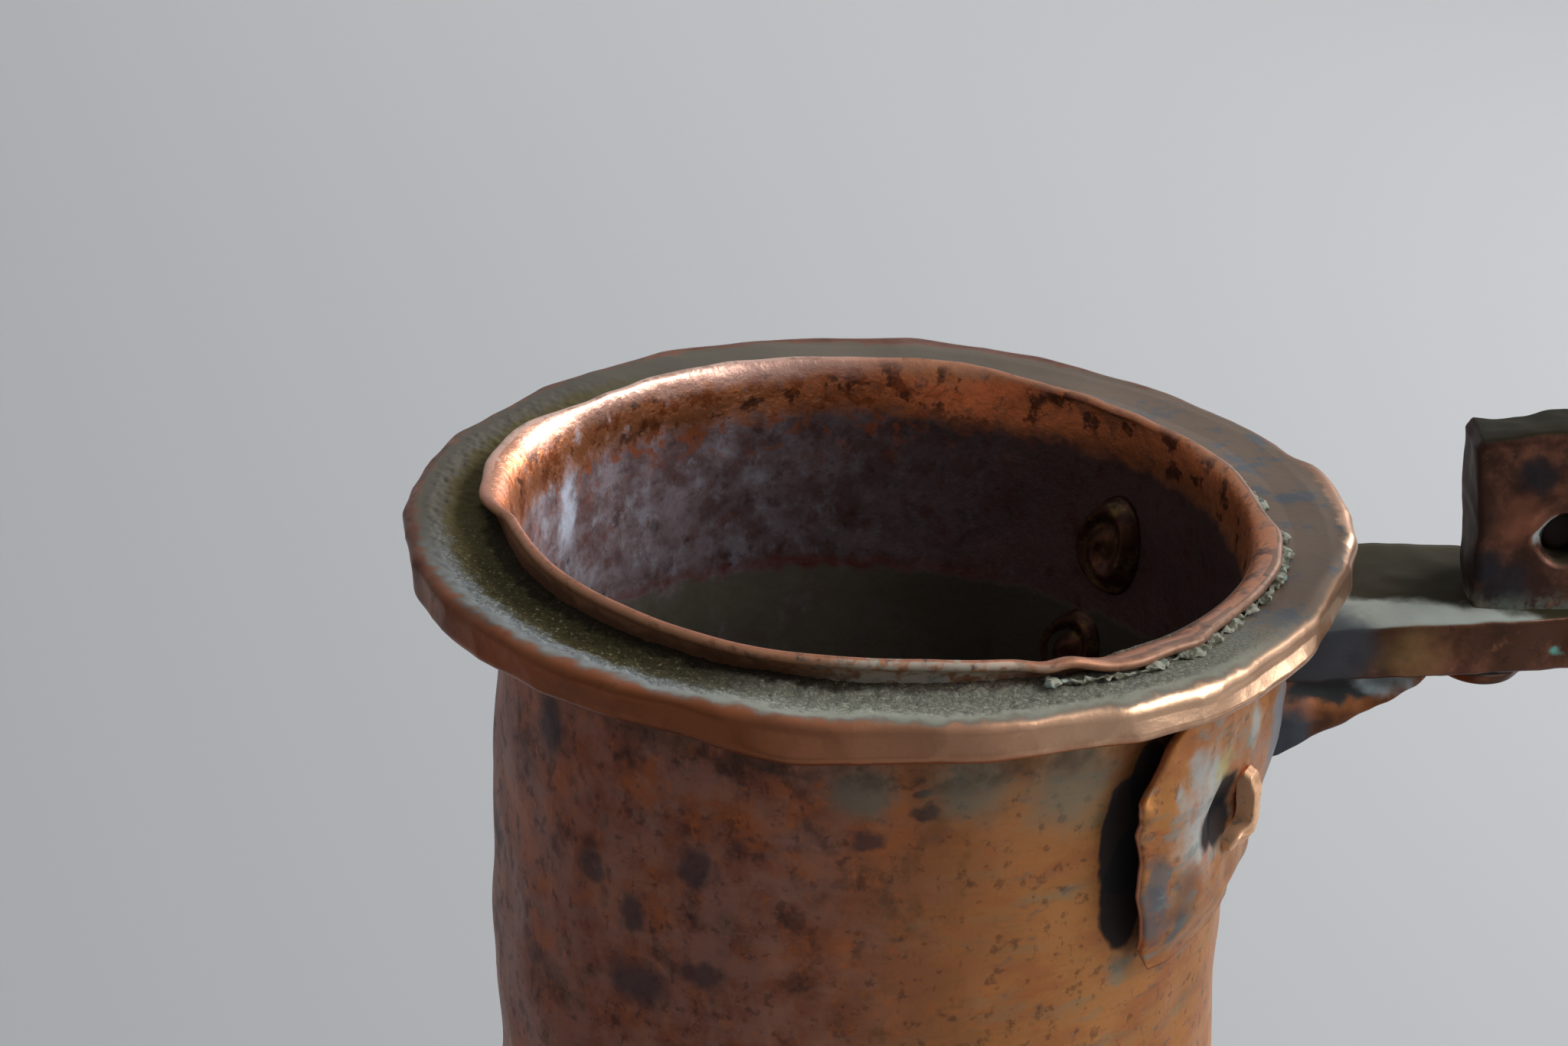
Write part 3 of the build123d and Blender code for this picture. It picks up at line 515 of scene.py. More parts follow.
def rubbed_lip():
    """The lip: copper rubbed smooth by hands and lid, so it shines, with black and green specks
    and a dull brown side towards the handle. A highlight is painted on its back, its outer face is
    painted lighter for light thrown up from the ring, and its foot is painted darker as shade."""
    made = Finish("rubbed_copper_lip", "#b4775a", 0.34, 0.75)
    # A painted highlight on the lip's back
    made.coat("#f0cbb8", 0.8, made.sector(128, 34, 18), rough=0.3)
    made.coat("#7c4e3a", 0.5, made.blotches(3.0, 0.5, 0.68, 1))
    outward = made.towards(made.normal, made.bearing, 0.3, 0.7)
    # The outer face at the front is painted lighter, for light thrown up from the dusty ring
    made.coat("#c08a68", 0.7, outward, made.sector(-110, 75, 15), rough=0.5, metal=0.4)
    specks = made.blotches(2.2, 0.56, 0.64, 2, (0.6, 0.6, 1))
    made.coat("#3c3a3c", 0.85, made.sector(-85, 32, 8), specks, rough=0.6, metal=0.2)
    green = made.times(made.sector(-92, 8, 6), made.blotches(1.6, 0.55, 0.64, 3))
    made.coat("#8fa595", 0.6, green, rough=0.7, metal=0.1)
    made.coat("#8f7260", 0.85, made.sector(-15, 48, 14), rough=0.5, metal=0.5)
    made.coat("#5a4a42", 0.6, made.sector(-15, 50, 14), made.blotches(3.0, 0.5, 0.62, 4), rough=0.5)
    # The lower part of the outer face is painted darker as shade
    foot = made.between(made.z, rim + 1.4, rim + 0.2)
    made.coat("#55392c", 0.6, outward, made.sector(-140, 40, 25), foot)
    crumbs = made.blotches(1.4, 0.38, 0.54, 7)
    made.coat("#b9b8ab", 0.7, outward, made.sector(-91, 12, 8), crumbs, rough=0.8, metal=0.0)
    made.coat("#6b4a39", 0.5, made.blotches(1.6, 0.52, 0.66, 6))
    made.relief(made.blotches(0.8, 0.3, 0.8, 5), 0.008)
    return made.done()


def dusty_plate():
    """The handle's plate: as the neck, but dulled by pale dust and slate grey dirt round its rivet,
    with a bright torn edge that is partly a painted highlight, painted shade in the hollow beside its
    rivet, and a black inner side of grime and painted shade."""
    made = raised_copper("raised_copper_plate")
    made.coat("#a3b0b2", 0.75, made.near(on_neck(-45, 22, 45), 3, 9, stray=6), rough=0.8, metal=0.1)
    made.coat("#a8653c", 0.6, made.blotches(5.0, 0.48, 0.62, 21))
    for turn, drop, size in ((-48.8, 15.0, 3.2), (-52.0, 17.0, 2.2), (-44.0, 16.0, 2.6), (-30.5, 15.5, 3.0)):
        dust = made.near(on_neck(turn, drop, 45), size * 0.2, size, (1, 1, 0.8), stray=4.5)
        made.coat("#9aa6a6", 0.75, dust, rough=0.8, metal=0.1)
    for turn, drop, size in ((-56.0, 26.5, 2.4), (-55.6, 31.0, 2.6), (-50.5, 35.0, 2.2)):
        slate = made.near(on_neck(turn, drop, 45.5), size * 0.4, size, (1, 1, 0.5), stray=4.5)
        made.coat("#4f5c64", 0.75, slate, rough=0.6, metal=0.3)
    streaks = made.blotches(4.0, 0.54, 0.66, 22, (0.7, 0.7, 1.6), 30)
    made.coat("#76837f", 0.6, streaks, rough=0.6, metal=0.3)
    made.coat("#a39a5c", 0.6, made.near(on_neck(-41.5, 17.5, 45), 0.5, 3.5), rough=0.9, metal=0.0)
    by_bracket = made.near(on_neck(-17, 21, 47), 2, 6, (1, 1, 0.6), stray=4)
    made.coat("#6f8794", 0.75, by_bracket, rough=0.7, metal=0.2)
    made.coat("#3c4648", 0.6, made.near(on_neck(-50, 31, 45), 1, 4.5, (1, 1, 0.7)), rough=0.6, metal=0.3)
    # Black painted as shade in the hollow beside the rivet tab
    for turn, drop, size in ((-39.5, 21.5, 3.6), (-43.5, 24.0, 3.2), (-39.0, 25.0, 3.2)):
        recess_shade = made.near(on_neck(turn, drop, 43.8), size * 0.7, size * 1.15, stray=2)
        made.coat("#101014", 0.95, recess_shade, rough=0.85, metal=0.0)
    # The torn edge's bright line: clean copper with a painted highlight
    torn_edge_and_highlight = made.towards(made.normal, (-0.85, -0.53, 0), 0.75, 0.95)
    made.coat("#e0a184", 0.9, torn_edge_and_highlight, made.sector(-58, 6, 3), rough=0.3, metal=0.8)
    # The inner side is painted black: grime and painted shade behind the lifted edge
    inner_side_grime_and_shade = made.towards(made.normal, made.bearing, -0.2, -0.6)
    made.coat("#0c0c0f", 0.95, inner_side_grime_and_shade, rough=0.85, metal=0.0)
    return made.done()


def forged_copper(name, colour="#6b4434"):
    """Copper forged in thick lumps. Broad shallow facets give it wide soft highlights, and it is
    brown where handled and dark in its hollows."""
    made = Finish(name, colour, 0.36, 0.88)
    made.coat("#94604a", 0.6, made.blotches(8.0, 0.46, 0.66, 1))
    made.coat("#41302b", 0.6, made.blotches(6.0, 0.5, 0.68, 2), rough=0.45)
    made.coat("#2b2629", 0.5, made.blotches(2.0, 0.6, 0.7, 3), rough=0.5)
    made.coat("#b87c5c", 0.35, made.blotches(3.0, 0.6, 0.74, 4))
    made.relief(made.blotches(0.8, 0.3, 0.8, 6), 0.015)
    made.planished(6.0, 0.1)
    return made


def dusty_ring():
    """The collar ring: towards the handle its rim is worn smooth, and painted bright as a highlight. Its
    top is matt with dust and crumbs, olive by the lip and grey outside, with painted shade in the
    crease at the lip's foot."""
    made = forged_copper("forged_copper_ring", "#744530")
    # Towards the handle the rim is worn smooth and painted bright as the window's highlight
    worn_and_highlit = made.sector(-46, 38, 34)
    made.coat("#e8bb98", 0.88, worn_and_highlit, rough=0.27, metal=0.9)
    made.coat("#a8623c", 0.5, made.sector(-122, 30, 25))
    made.coat("#8f5638", 0.5, worn_and_highlit, made.between(made.z, rim - 3.0, rim - 4.4))
    made.coat("#9a7a5c", 0.25, made.up, made.between(made.reach, 52.2, 50.6))
    top = made.times(made.up, made.between(made.reach, 52.4, 51.0))
    made.coat("#57544a", 0.9, top, rough=0.8, metal=0.15)
    made.coat("#48453c", 0.7, top, made.sector(160, 45, 30), rough=0.9, metal=0.0)
    made.coat("#6e5b4c", 0.85, top, made.sector(-5, 60, 20), rough=0.55, metal=0.3)
    slate = made.times(top, made.sector(-20, 60, 20), made.blotches(4.0, 0.5, 0.62, 11))
    made.coat("#47535e", 0.75, slate, rough=0.6, metal=0.3)
    grey = made.times(top, made.sector(-130, 34, 20), made.band(made.reach, 47.5, 51.2, 1.2))
    made.coat("#83898a", 0.8, grey, rough=0.9, metal=0.0)
    pale = made.times(top, made.sector(-80, 36, 14), made.band(made.reach, 44.0, 51.2, 0.8))
    made.coat("#8f8f80", 0.9, pale, rough=0.95, metal=0.0)
    olive = made.times(top, made.sector(-178, 58, 16), made.between(made.reach, 49.4, 47.4))
    made.coat("#4c4323", 0.95, olive, rough=0.95, metal=0.0)
    grains = made.times(top, made.sector(-110, 62, 16), made.between(made.reach, 50.6, 49.2))
    made.coat("#a9ab84", 0.8, grains, made.blotches(0.45, 0.58, 0.66, 12), rough=1.0, metal=0.0)
    made.coat("#2a2517", 0.45, grains, made.blotches(0.6, 0.58, 0.68, 13), rough=1.0, metal=0.0)
    # Painted shade in the crease at the lip's foot
    shade_by_lip = made.times(top, made.sector(-150, 48, 14), made.between(made.reach, 44.6, 43.6))
    made.coat("#221a10", 0.8, shade_by_lip, rough=1.0, metal=0.0)
    made.relief(made.times(grains, made.blotches(0.5, 0.4, 0.7, 14)), 0.25)
    return made.done()


def grimy_bar():
    """The handle's bar: matt olive grime on top with a band of pale dust along its near edge,
    slate grey by the neck, a painted tan highlight on its side at the root, and a green speck of
    verdigris on its side."""
    made = forged_copper("forged_copper_bar", "#573a2c")
    made.coat("#2c2813", 0.95, made.up, rough=0.9, metal=0.1)
    slant = {0: made.x, 1: 0.32, 2: made.y}
    dust_edge = add(made.tree, "Math", slant, operation="MULTIPLY_ADD").outputs[0]
    dust = made.times(made.up, made.between(dust_edge, 15.8, 13.0), made.between(made.x, 92.0, 80.0))
    made.coat("#a9afa6", 0.9, dust, rough=0.95, metal=0.0)
    # A painted tan highlight on the bar's side at its root
    made.coat("#c09a62", 0.35, made.near((59.5, bar_front, bar_top - 3.5), 1.0, 4.5, (0.8, 1, 0.8)))
    slate = made.near((50.0, bar_front, bar_top - 3), 3.0, 6.5, (0.9, 0.6, 0.7))
    made.coat("#3c434a", 0.85, slate, rough=0.6, metal=0.2)
    speck = made.near((76.4, bar_front + 3, bar_top - 4), 0.3, 1.1, (1, 0.3, 1))
    made.coat("#5fa79a", 0.8, speck, rough=0.8, metal=0.0)
    return made.done()


def scorched_lug():
    """The hinge lug: grimy on top and dusty at its foot, with scorched blue black patches round
    its hole and a pale crescent on the hole's rim. Its side away from the window is painted darker as
    shade, and the inside of its hole is painted dark as shade."""
    made = forged_copper("forged_copper_lug", "#483027")
    made.coat("#33311f", 0.92, made.up, rough=0.8, metal=0.2)
    # The side facing away from the window is painted darker as shade
    made.coat("#39312b", 0.7, made.between(made.facing[0], -0.6, -0.9), rough=0.6, metal=0.3)
    made.coat("#a5664c", 0.5, made.near((pin_x - 5.5, lug_front, pin_z + 2.5), 0.5, 4.5), rough=0.35)
    for x, z, size in ((-7.0, -5.5, 4.5), (-4.0, 8.0, 3.0), (-9.5, -3.0, 3.0), (2.0, 6.0, 2.5)):
        scorch = made.near((pin_x + x, lug_front, pin_z + z), size * 0.4, size)
        made.coat("#1c1c22", 0.85, scorch, rough=0.55, metal=0.3)
    foot = made.between(made.z, bar_top + 3.5, bar_top + 0.5)
    made.coat("#6f7468", 0.8, foot, made.blotches(2.0, 0.35, 0.6, 8), rough=0.95, metal=0.0)
    chamfer = made.between(made.facing[1], -0.97, -0.85)
    crescent = made.near((pin_x - 3.2, lug_front + 0.5, pin_z + 1.5), 1.2, 2.6)
    made.coat("#b3bab8", 0.85, chamfer, crescent, rough=0.6, metal=0.2)
    # The inside of the pin's hole is painted dark as shade
    hole = made.near((pin_x, lug_front + 3, pin_z), 2.5, 2.9, (1, 0.2, 1))
    made.coat("#17100d", 0.9, hole, rough=0.7, metal=0.2)
    return made.done()


def crusted_bracket():
    """The root bracket: blue black by the neck, brown outside, with grey green crust in its
    hollows."""
    made = forged_copper("forged_copper_bracket", "#6b4632")
    made.coat("#465059", 0.92, made.between(made.x, 50.0, 47.5), rough=0.65, metal=0.25)
    hollow_spot = (50.7, -10.5, rim - 18.4)
    made.coat("#a9683e", 0.6, made.near(hollow_spot, 3.0, 5.5, (0.62, 0.6, 1.5)))
    made.coat("#2c3638", 0.95, made.near(hollow_spot, 1.8, 3.2, (0.42, 0.6, 1.6)), rough=0.7, metal=0.2)
    crust = made.near((56.5, -10.5, rim - 17.0), 1.6, 3.4, (0.8, 0.6, 1.2))
    made.coat("#a5b4b6", 0.85, crust, rough=0.8, metal=0.1)
    return made.done()


def dark_rivets():
    """The rivet heads inside the neck, as dark as the bore, with yellow brown scale."""
    made = Finish("peened_copper_in_the_bore", "#4d3326", 0.4, 0.6)
    made.coat("#7d6a3e", 0.7, made.blotches(3.0, 0.5, 0.66, 1))
    made.coat("#1c1314", 0.6, made.blotches(1.6, 0.5, 0.62, 2))
    return made.done()


def bent_rivet():
    """The bent rivet: pale clean copper, with a few brown and grey green specks."""
    made = Finish("bent_rivet_copper", "#e8b68e", 0.4, 0.45)
    made.coat("#8a583e", 0.45, made.blotches(2.0, 0.52, 0.68, 1))
    made.coat("#5d7074", 0.5, made.blotches(1.2, 0.58, 0.66, 2), rough=0.6)
    return made.done()


def caked_verdigris():
    """Verdigris dried in crumbs: chalky, grey and green, with no shine."""
    made = Finish("caked_verdigris", "#a09f90", 0.95, 0.0)
    made.coat("#4d4c38", 0.85, made.blotches(1.2, 0.44, 0.56, 1))
    made.coat("#8fa8a0", 0.6, made.blotches(1.6, 0.54, 0.66, 2))
    return made.done()


plate_skin = dusty_plate()
lug_skin = scorched_lug()

# Collar ring, hammered into flats round its rim, its top dished
top_corners = {
    -171: 53.2, -160: 53.0, -148: 52.6, -137: 53.2, -127: 53.1, -121: 52.4, -115: 53.2, -108: 53.0,
    -102: 52.6, -94: 51.8, -86: 52.4, -77: 51.7, -67: 52.5, -56: 52.9, -48: 51.6, -39: 51.3, -32: 51.5,
    -19: 51.9, -9: 53.5, 1: 54.1, 9: 54.5, 13.3: 54.1, 14.6: 52.9, 24: 52.9, 40: 52.8, 46: 53.0, 60: 54.3,
    77: 55.1, 94: 53.9, 111: 54.1, 131: 53.4, 151: 53.1, 161: 52.8, 175: 53.2,
}
foot_corners = {
    -169: 53.2, -156: 53.1, -150: 52.7, -140: 52.6, -129: 52.2, -121: 52.1, -117: 52.8, -111: 54.1,
    -107: 54.2, -102: 53.1, -91: 52.3, -85: 52.7, -73: 51.9, -67: 53.0, -56: 53.3, -48: 52.6, -37: 52.3,
    -26: 51.7, -14: 52.7, 5: 53.8, 13.3: 53.6, 14.6: 52.6, 40: 52.5, 60: 53.9, 77: 54.7, 94: 53.5,
    131: 53.3, 161: 52.7,
}
corner_blur = 1.8
ring_turns = np.arange(-180, 180, 0.33)[:, None]
top_edge = flats(top_corners, corner_blur)(ring_turns)
foot_edge = flats(foot_corners, corner_blur)(ring_turns)
edge_round = 1.3 + 1.1 * bell(ring_turns + 45, 42)
foot_round = 1.1
neck_side = neck_radius - 0.3
quarter = np.radians(np.linspace(0, 90, 9))[None]
foot_bend = quarter[:, 1:]
rise = np.linspace(0, 1, 9)[1:-1]
inner_foot = foot_edge - foot_round
inner_top = top_edge - edge_round
wall_low = ring_foot + foot_round
rows = [
    (neck_side + (inner_foot - neck_side) * np.linspace(0, 1, 8), ring_foot + 0 * foot_edge),
    (inner_foot + foot_round * np.sin(foot_bend), ring_foot + foot_round * (1 - np.cos(foot_bend))),
    (foot_edge + (top_edge - foot_edge) * rise, wall_low + (-edge_round - wall_low) * rise),
    (top_edge - edge_round * (1 - np.cos(quarter)), -edge_round * (1 - np.sin(quarter))),
    (inner_top + (neck_side - inner_top) * np.linspace(0, 1, 48)[1:], 0 * foot_edge),
]
ring_r = np.concatenate([r for r, _ in rows], 1)
ring_z = np.concatenate([np.broadcast_to(z, r.shape) for r, z in rows], 1)
on_top = ease(ring_z, -0.6, -0.02) * ease(ring_r, 53.0, 50.5)
dished = ease(-np.cos(np.radians(ring_turns - 35)), -0.2, 0.5)
dish = np.interp(ring_r, [41, 43.5, 46, 48.5, 50, 51.5, 53], [-0.3, -0.4, -0.8, -0.35, 0, -0.1, -0.5])
ring_z = ring_z + on_top * dish * (0.3 + 0.7 * dished)
spots = polar(ring_turns, ring_r, ring_z + rim)
dusty = on_top * dished * ease(ring_r, 51.0, 49.5)
crumbs = 0.12 * lumps(spots, 1.1, 6) + 0.09 * lumps(spots, 0.5, 8)
ring_z = ring_z + on_top * 0.16 * lumps(spots, 9, 5) + dusty * crumbs
ring_r = ring_r + ease(ring_r, 50.0, 52.0) * (0.35 * blows(spots, 6.5, 3) - 0.15)
ring_z = ring_z + 0.25 * lumps(polar(ring_turns, ring_radius, 0.0), 30, 7)
back_lift = 0.5 * bell(ring_turns - 85, 50)
ring = polar(ring_turns, ring_r, ring_z + back_lift + rim)
lay("collar_ring_hammered", [ring], True, dusty_ring(), "kettle", "forged_copper", "collar_ring")

# Neck, a raised sheet with an uneven lip that is bent out over the ring towards the handle
tip_blur = 1.6
tip_reach = around({
    107: 42.7, 90: 41.9, 78: 42.5, 69: 42.9, 60: 41.8, 52: 41.2, 40: 41.0, 25: 41.4, 15: 42.4, 5: 42.3,
    -5: 42.4, -11: 43.8, -24: 44.6, -38: 44.4, -47: 44.8, -52: 46.0, -56: 45.3, -63: 45.9, -67: 45.3,
    -71: 44.6, -75: 44.3, -79: 43.3, -85: 43.6, -92: 43.2, -101: 43.3, -115: 43.6, -128: 42.9, -139: 42.4,
    -154: 42.1, -166: 41.7, -174: 41.8, -179: 43.2, 176: 44.2, 171: 44.1, 165: 44.4, 155: 44.5, 148: 44.0,
    137: 42.0, 122: 42.3,
}, tip_blur)
tip_height = around({
    90: 1.5, 60: 1.3, 40: 1.2, 25: 1.0, 15: 0.8, 5: 0.7, -5: 0.7, -38: 0.7, -52: 0.75, -63: 0.75, -67: 0.8,
    -70: 1.4, -72.5: 1.9, -75: 1.2, -79: 1.7, -85: 2.1, -92: 2.25, -154: 2.25, -166: 2.3, -174: 2.2,
    180: 1.8, 176: 1.5, 165: 1.6, 155: 1.6, 120: 1.6,
}, tip_blur)
neck_turns = np.arange(-180, 180, 0.6)
curves = shoulder_curve + upper_curve
foot_height = belly_height + sqrt(curves**2 - (neck_radius + curves - belly_radius) ** 2)
shoulder_centre = np.array([neck_radius + shoulder_curve, foot_height - rim])
upper_centre = np.array([belly_radius - upper_curve, belly_height - rim])
seam = degrees(atan2(*(upper_centre - shoulder_centre)[::-1])) % 360
turn = np.radians(np.linspace(seam, 180, 30))[:, None]
hollow = shoulder_centre + (shoulder_curve + sheet / 2) * np.concatenate([np.cos(turn), np.sin(turn)], 1)
bend_start = -4.5
straight_z = np.linspace(shoulder_centre[1], bend_start, 56)[1:]
stem = np.concatenate([hollow, np.stack([0 * straight_z + neck_radius - sheet / 2, straight_z], -1)])
share = np.linspace(0, 1, 15)[1:, None]
tips = np.stack([tip_reach(neck_turns), tip_height(neck_turns)], -1)[:, None]
knee_z = np.minimum(tip_height(neck_turns) * 0.4 + 0.3, 1.2)
knee = np.stack([np.full_like(neck_turns, stem[-1, 0] + 0.1), knee_z], -1)
lip = (1 - share) ** 2 * stem[-1] + 2 * share * (1 - share) * knee[:, None] + share**2 * tips
neck_mid = np.concatenate([np.broadcast_to(stem[None], (len(neck_turns), *stem.shape)), lip], 1)
neck_z = neck_mid[..., 1]
spots = polar(neck_turns[:, None], neck_mid[..., 0], neck_z + rim)
below_lip = ease(-neck_z, 2.0, 6.0)
wall = below_lip * ease(neck_z, stem[0, 1] + 1, stem[0, 1] + 20)
dents = 0.35 * lumps(spots, 22, 11) + 0.16 * lumps(spots, 8, 12) + 0.16 * (blows(spots, 9, 13) - 0.4)
away_from_handle = -np.cos(np.radians(neck_turns[:, None]))
swell = 0.9 * ease(-neck_z, 4, 38) * ease(neck_z, shoulder_centre[1], -50) * away_from_handle
nibble = 0.07 * lumps(spots, 5, 14) * (1 - below_lip)
neck_mid[..., 0] += (dents + swell) * wall + nibble
neck_mid[..., 1] += nibble + rim
loop = sheet_loop(neck_mid, sheet)
neck_points = polar(neck_turns[:, None], loop[..., 0], loop[..., 1])
neck = lay("neck_raised", [neck_points], True, stained_neck(), "kettle", "raised_copper", "neck_wall")
neck.data.materials.append(oxide_and_lime())
neck.data.materials.append(rubbed_lip())
bore_slot, lip_slot = 1, 2
for face in neck.data.polygons:
    out = Vector((face.center.x, face.center.y, 0)).normalized()
    if face.normal.dot(out) < -0.1 and face.center.z / MM < rim + 2.0:
        face.material_index = bore_slot
    elif face.center.z / MM > rim - 0.5:
        face.material_index = lip_slot

# Verdigris caked along the foot of the flattened lip
crust_turns = np.linspace(-76, 16, 400)
crust_size = np.clip(0.45 + 0.7 * lumps(polar(crust_turns, 45, 0), 2.6, 71), 0.12, 0.95)
crust_path = polar(crust_turns, tip_reach(crust_turns) + 0.75, rim + 0.05)
crust_section = rounded(0.55, 1.0, 0.5, 16)[None] * crust_size[:, None, None]
crust = knocked(swept(crust_path, crust_section, (0, 0, 1)), 0.7, 0.45, 72)
lay("verdigris_crust", [crust], False, caked_verdigris(), "kettle", "raised_copper")

# Handle plate: its left edge stands off the neck and its foot dissolves into it
left_edge = [
    (-5.0, -46), (-11, -54), (-15, -57.5), (-16.5, -59.4), (-17.7, -59.6), (-19, -59.0), (-20.4, -59.4),
    (-24, -58.2), (-28, -58.3), (-32, -57.0), (-35.5, -56.0), (-39.5, -52.5),
]
plate_foot, plate_right = -39.5, 54
plate_z = np.linspace(plate_top - rim, plate_foot, 110)[:, None]
left_turn = np.interp(-plate_z, *zip(*[(-z, turn) for z, turn in left_edge]))
plate_turns = left_turn + (plate_right - left_turn) * np.linspace(0, 1, 240)[None]
plate_z = np.broadcast_to(plate_z, plate_turns.shape)
left_lift = 2.5 * ease(-plate_turns, 20, 57) * (1 - 0.6 * ease(-plate_z, 30, 39))
stand = left_lift + 1.2 * ease(plate_turns, 22, 50)
half = (1.4 - 1.2 * ease(-plate_z, 34, 39.5) - 0.3 * ease(-plate_turns, 54, 58)) / 2
spots = polar(plate_turns, neck_radius, plate_z + rim)
plate_mid = neck_radius + stand + half + 0.3 + 0.2 * lumps(spots, 8, 21) + 0.12 * lumps(spots, 3, 22)
over_bracket = 3.2 * ease(plate_z, -39, -19) * bell(plate_turns + 7, 20)
rivet_bulge = 0.5 * bell(plate_turns + 36, 9) * bell(plate_z + 22, 6)
rivet_pit = 2.3 * bell(plate_turns + 39.0, 5.0) * bell(plate_z + 23.8, 3.6)
torn_corner = 0.5 * bell(plate_turns + 59, 1.5) * bell(plate_z + 17.6, 1.2)
plate_mid += over_bracket + rivet_bulge - rivet_pit + torn_corner
bow = np.radians(np.linspace(90, -90, 7)[1:-1])[None]
right_end, left_end = half[:, -1:], half[:, :1]
plate_radius = 45
loop_turns = [
    plate_turns,
    plate_turns[:, -1:] + right_end * np.cos(bow) / radians(plate_radius),
    plate_turns[:, ::-1],
    plate_turns[:, :1] - left_end * np.cos(bow[:, ::-1]) / radians(plate_radius),
]
loop_reach = [
    plate_mid + half,
    plate_mid[:, -1:] + right_end * np.sin(bow),
    (plate_mid - half)[:, ::-1],
    plate_mid[:, :1] + left_end * np.sin(bow[:, ::-1]),
]
plate = polar(np.concatenate(loop_turns, 1), np.concatenate(loop_reach, 1), plate_z[:, :1] + rim)
lay("neck_plate_lifted", [plate], False, plate_skin, "kettle", "raised_copper", "neck_plate")

# Rivets of the plate: outside a bent tab, inside two heads with a struck curl
fin_turn = radians(-34.0)
fin_outline = np.array([
    (44.6, -20.6), (45.4, -20.0), (46.3, -20.5), (46.8, -22.0), (46.9, -25.0), (46.7, -27.4), (45.9, -28.9),
    (44.4, -29.3), (42.8, -28.9), (42.5, -27.7), (43.5, -26.9), (44.4, -26.1), (44.5, -24.0),
])
fin = block(fin_outline, np.array([45.4, -27.2]), -1.1, 1.0, 0.5)
hook = ease(-fin[..., 2], 25.5, 28.0) * (1 + 1.6 * ease(-fin[..., 1], -0.4, 0.6))
fin[..., 1] -= 0.9 * hook - 0.5
fin[..., 0] -= 0.5 * ease(-fin[..., 1], 0.5, 2.0)
fin_x, fin_y, fin_z = np.moveaxis(knocked(fin, 3.0, 0.3, 51), -1, 0)
fin_x, fin_y = fin_x * cos(fin_turn) - fin_y * sin(fin_turn), fin_x * sin(fin_turn) + fin_y * cos(fin_turn)
fin = np.stack([fin_x, fin_y, fin_z + rim], -1)
lay("bent_rivet_tab", [fin], False, bent_rivet(), "kettle", "copper_rivet", "neck_plate_rivets")
inner_wall = neck_radius - sheet
curve = 1 / (2 * inner_wall)
heads = []
for turn, drop, wide, high in ((38.0, 16.0, 4.6, 6.6), (44.0, 31.0, 4.6, 5.6)):
    towards = -np.array(on_neck(turn, rim, 1.0))
    heads.append(head(on_neck(turn, drop, inner_wall - 0.2), towards, wide, high, 1.1, 0.8, curve, turn))
lay("curled_rivet_heads", heads, False, dark_rivets(), "kettle", "copper_rivet")

# Root bracket, forged as one lump under the bar, with a slot and a pit struck in its front
bracket_outline = np.array([
    (42.4, -14.4), (57.0, -14.6), (60.4, -16.0), (61.6, -17.0), (60.8, -17.9), (59.0, -18.9), (57.0, -20.2),
    (54.2, -21.8), (51.5, -23.2), (48.6, -24.4), (46.8, -25.6), (45.0, -26.6), (42.4, -27.2),
])
bracket_outline[:, 1] += rim
bracket_half = 10.5
bracket = block(bracket_outline, np.array([50.0, rim - 19.5]), -bracket_half, bracket_half, 1.0)
bracket_x, bracket_drop = bracket[..., 0], bracket[..., 2] - rim
slot = bell(bracket_x - 50.7, 5.2) * bell(bracket_drop + 18.4, 1.5)
pit = bell(bracket_x - 56.7, 2.2) * bell(bracket_drop + 16.9, 1.4)
bracket[..., 1] += ease(-bracket[..., 1], 8.5, 10.2) * (1.3 * slot + 1.8 * pit)
bracket = knocked(knocked(bracket, 6.0, 0.45, 61), 2.0, 0.18, 62)
lay("root_bracket_forged", [bracket], False, crusted_bracket(), "kettle", "forged_copper", "root_bracket")

# Handle bar, forged flat, from the neck out over the hinge and down to the belly
bar_thick = 6.9
bar_half = 8.5
root_x, palm_x = 42.2, 85.7
arm_height = 98.0
bar_mid = bar_top - bar_thick / 2 + 0.4
grip_x = bar_high[0] - bar_thick / 2
bar_marks = [
    (root_x, bar_mid), (grip_x, bar_mid), (grip_x, arm_height), (palm_x, arm_height), (palm_x, bar_low[2]),
]
bar_x, bar_z = bent(bar_marks, [26, 30, 9]).T
near_side = np.interp(bar_x, [41, 52, 63, 70.5, 77.8, 90], [11.0, 10.6, 10.6, 10.0, 8.7, bar_half])
far_side = np.interp(bar_x, [41, 61, 71.5, 80, 90], [12.2, 12.4, 11.4, 9.8, bar_half])
past_root = ease(bar_top - bar_z, 10, 20)
near_side += (bar_half - near_side) * past_root
far_side += (bar_half - far_side) * past_root
sides = zip(near_side, far_side)
sections = [rounded((near + far) / 2, bar_thick / 2, 0.9) + [(far - near) / 2, 0] for near, far in sides]
bar = swept(np.stack([bar_x, 0 * bar_x, bar_z], -1), np.array(sections), (0, 1, 0))
bar = knocked(knocked(bar, 18.0, 0.55, 31), 3.0, 0.2, 32)
peen = head((69.5, -4.5, bar_top - bar_thick - 0.2), (0, 0.01, -1), 5.5, 5.0, 1.5, seed=3)
lay("handle_bar_forged", [bar, peen], False, grimy_bar(), "kettle", "forged_copper", "handle_bar")

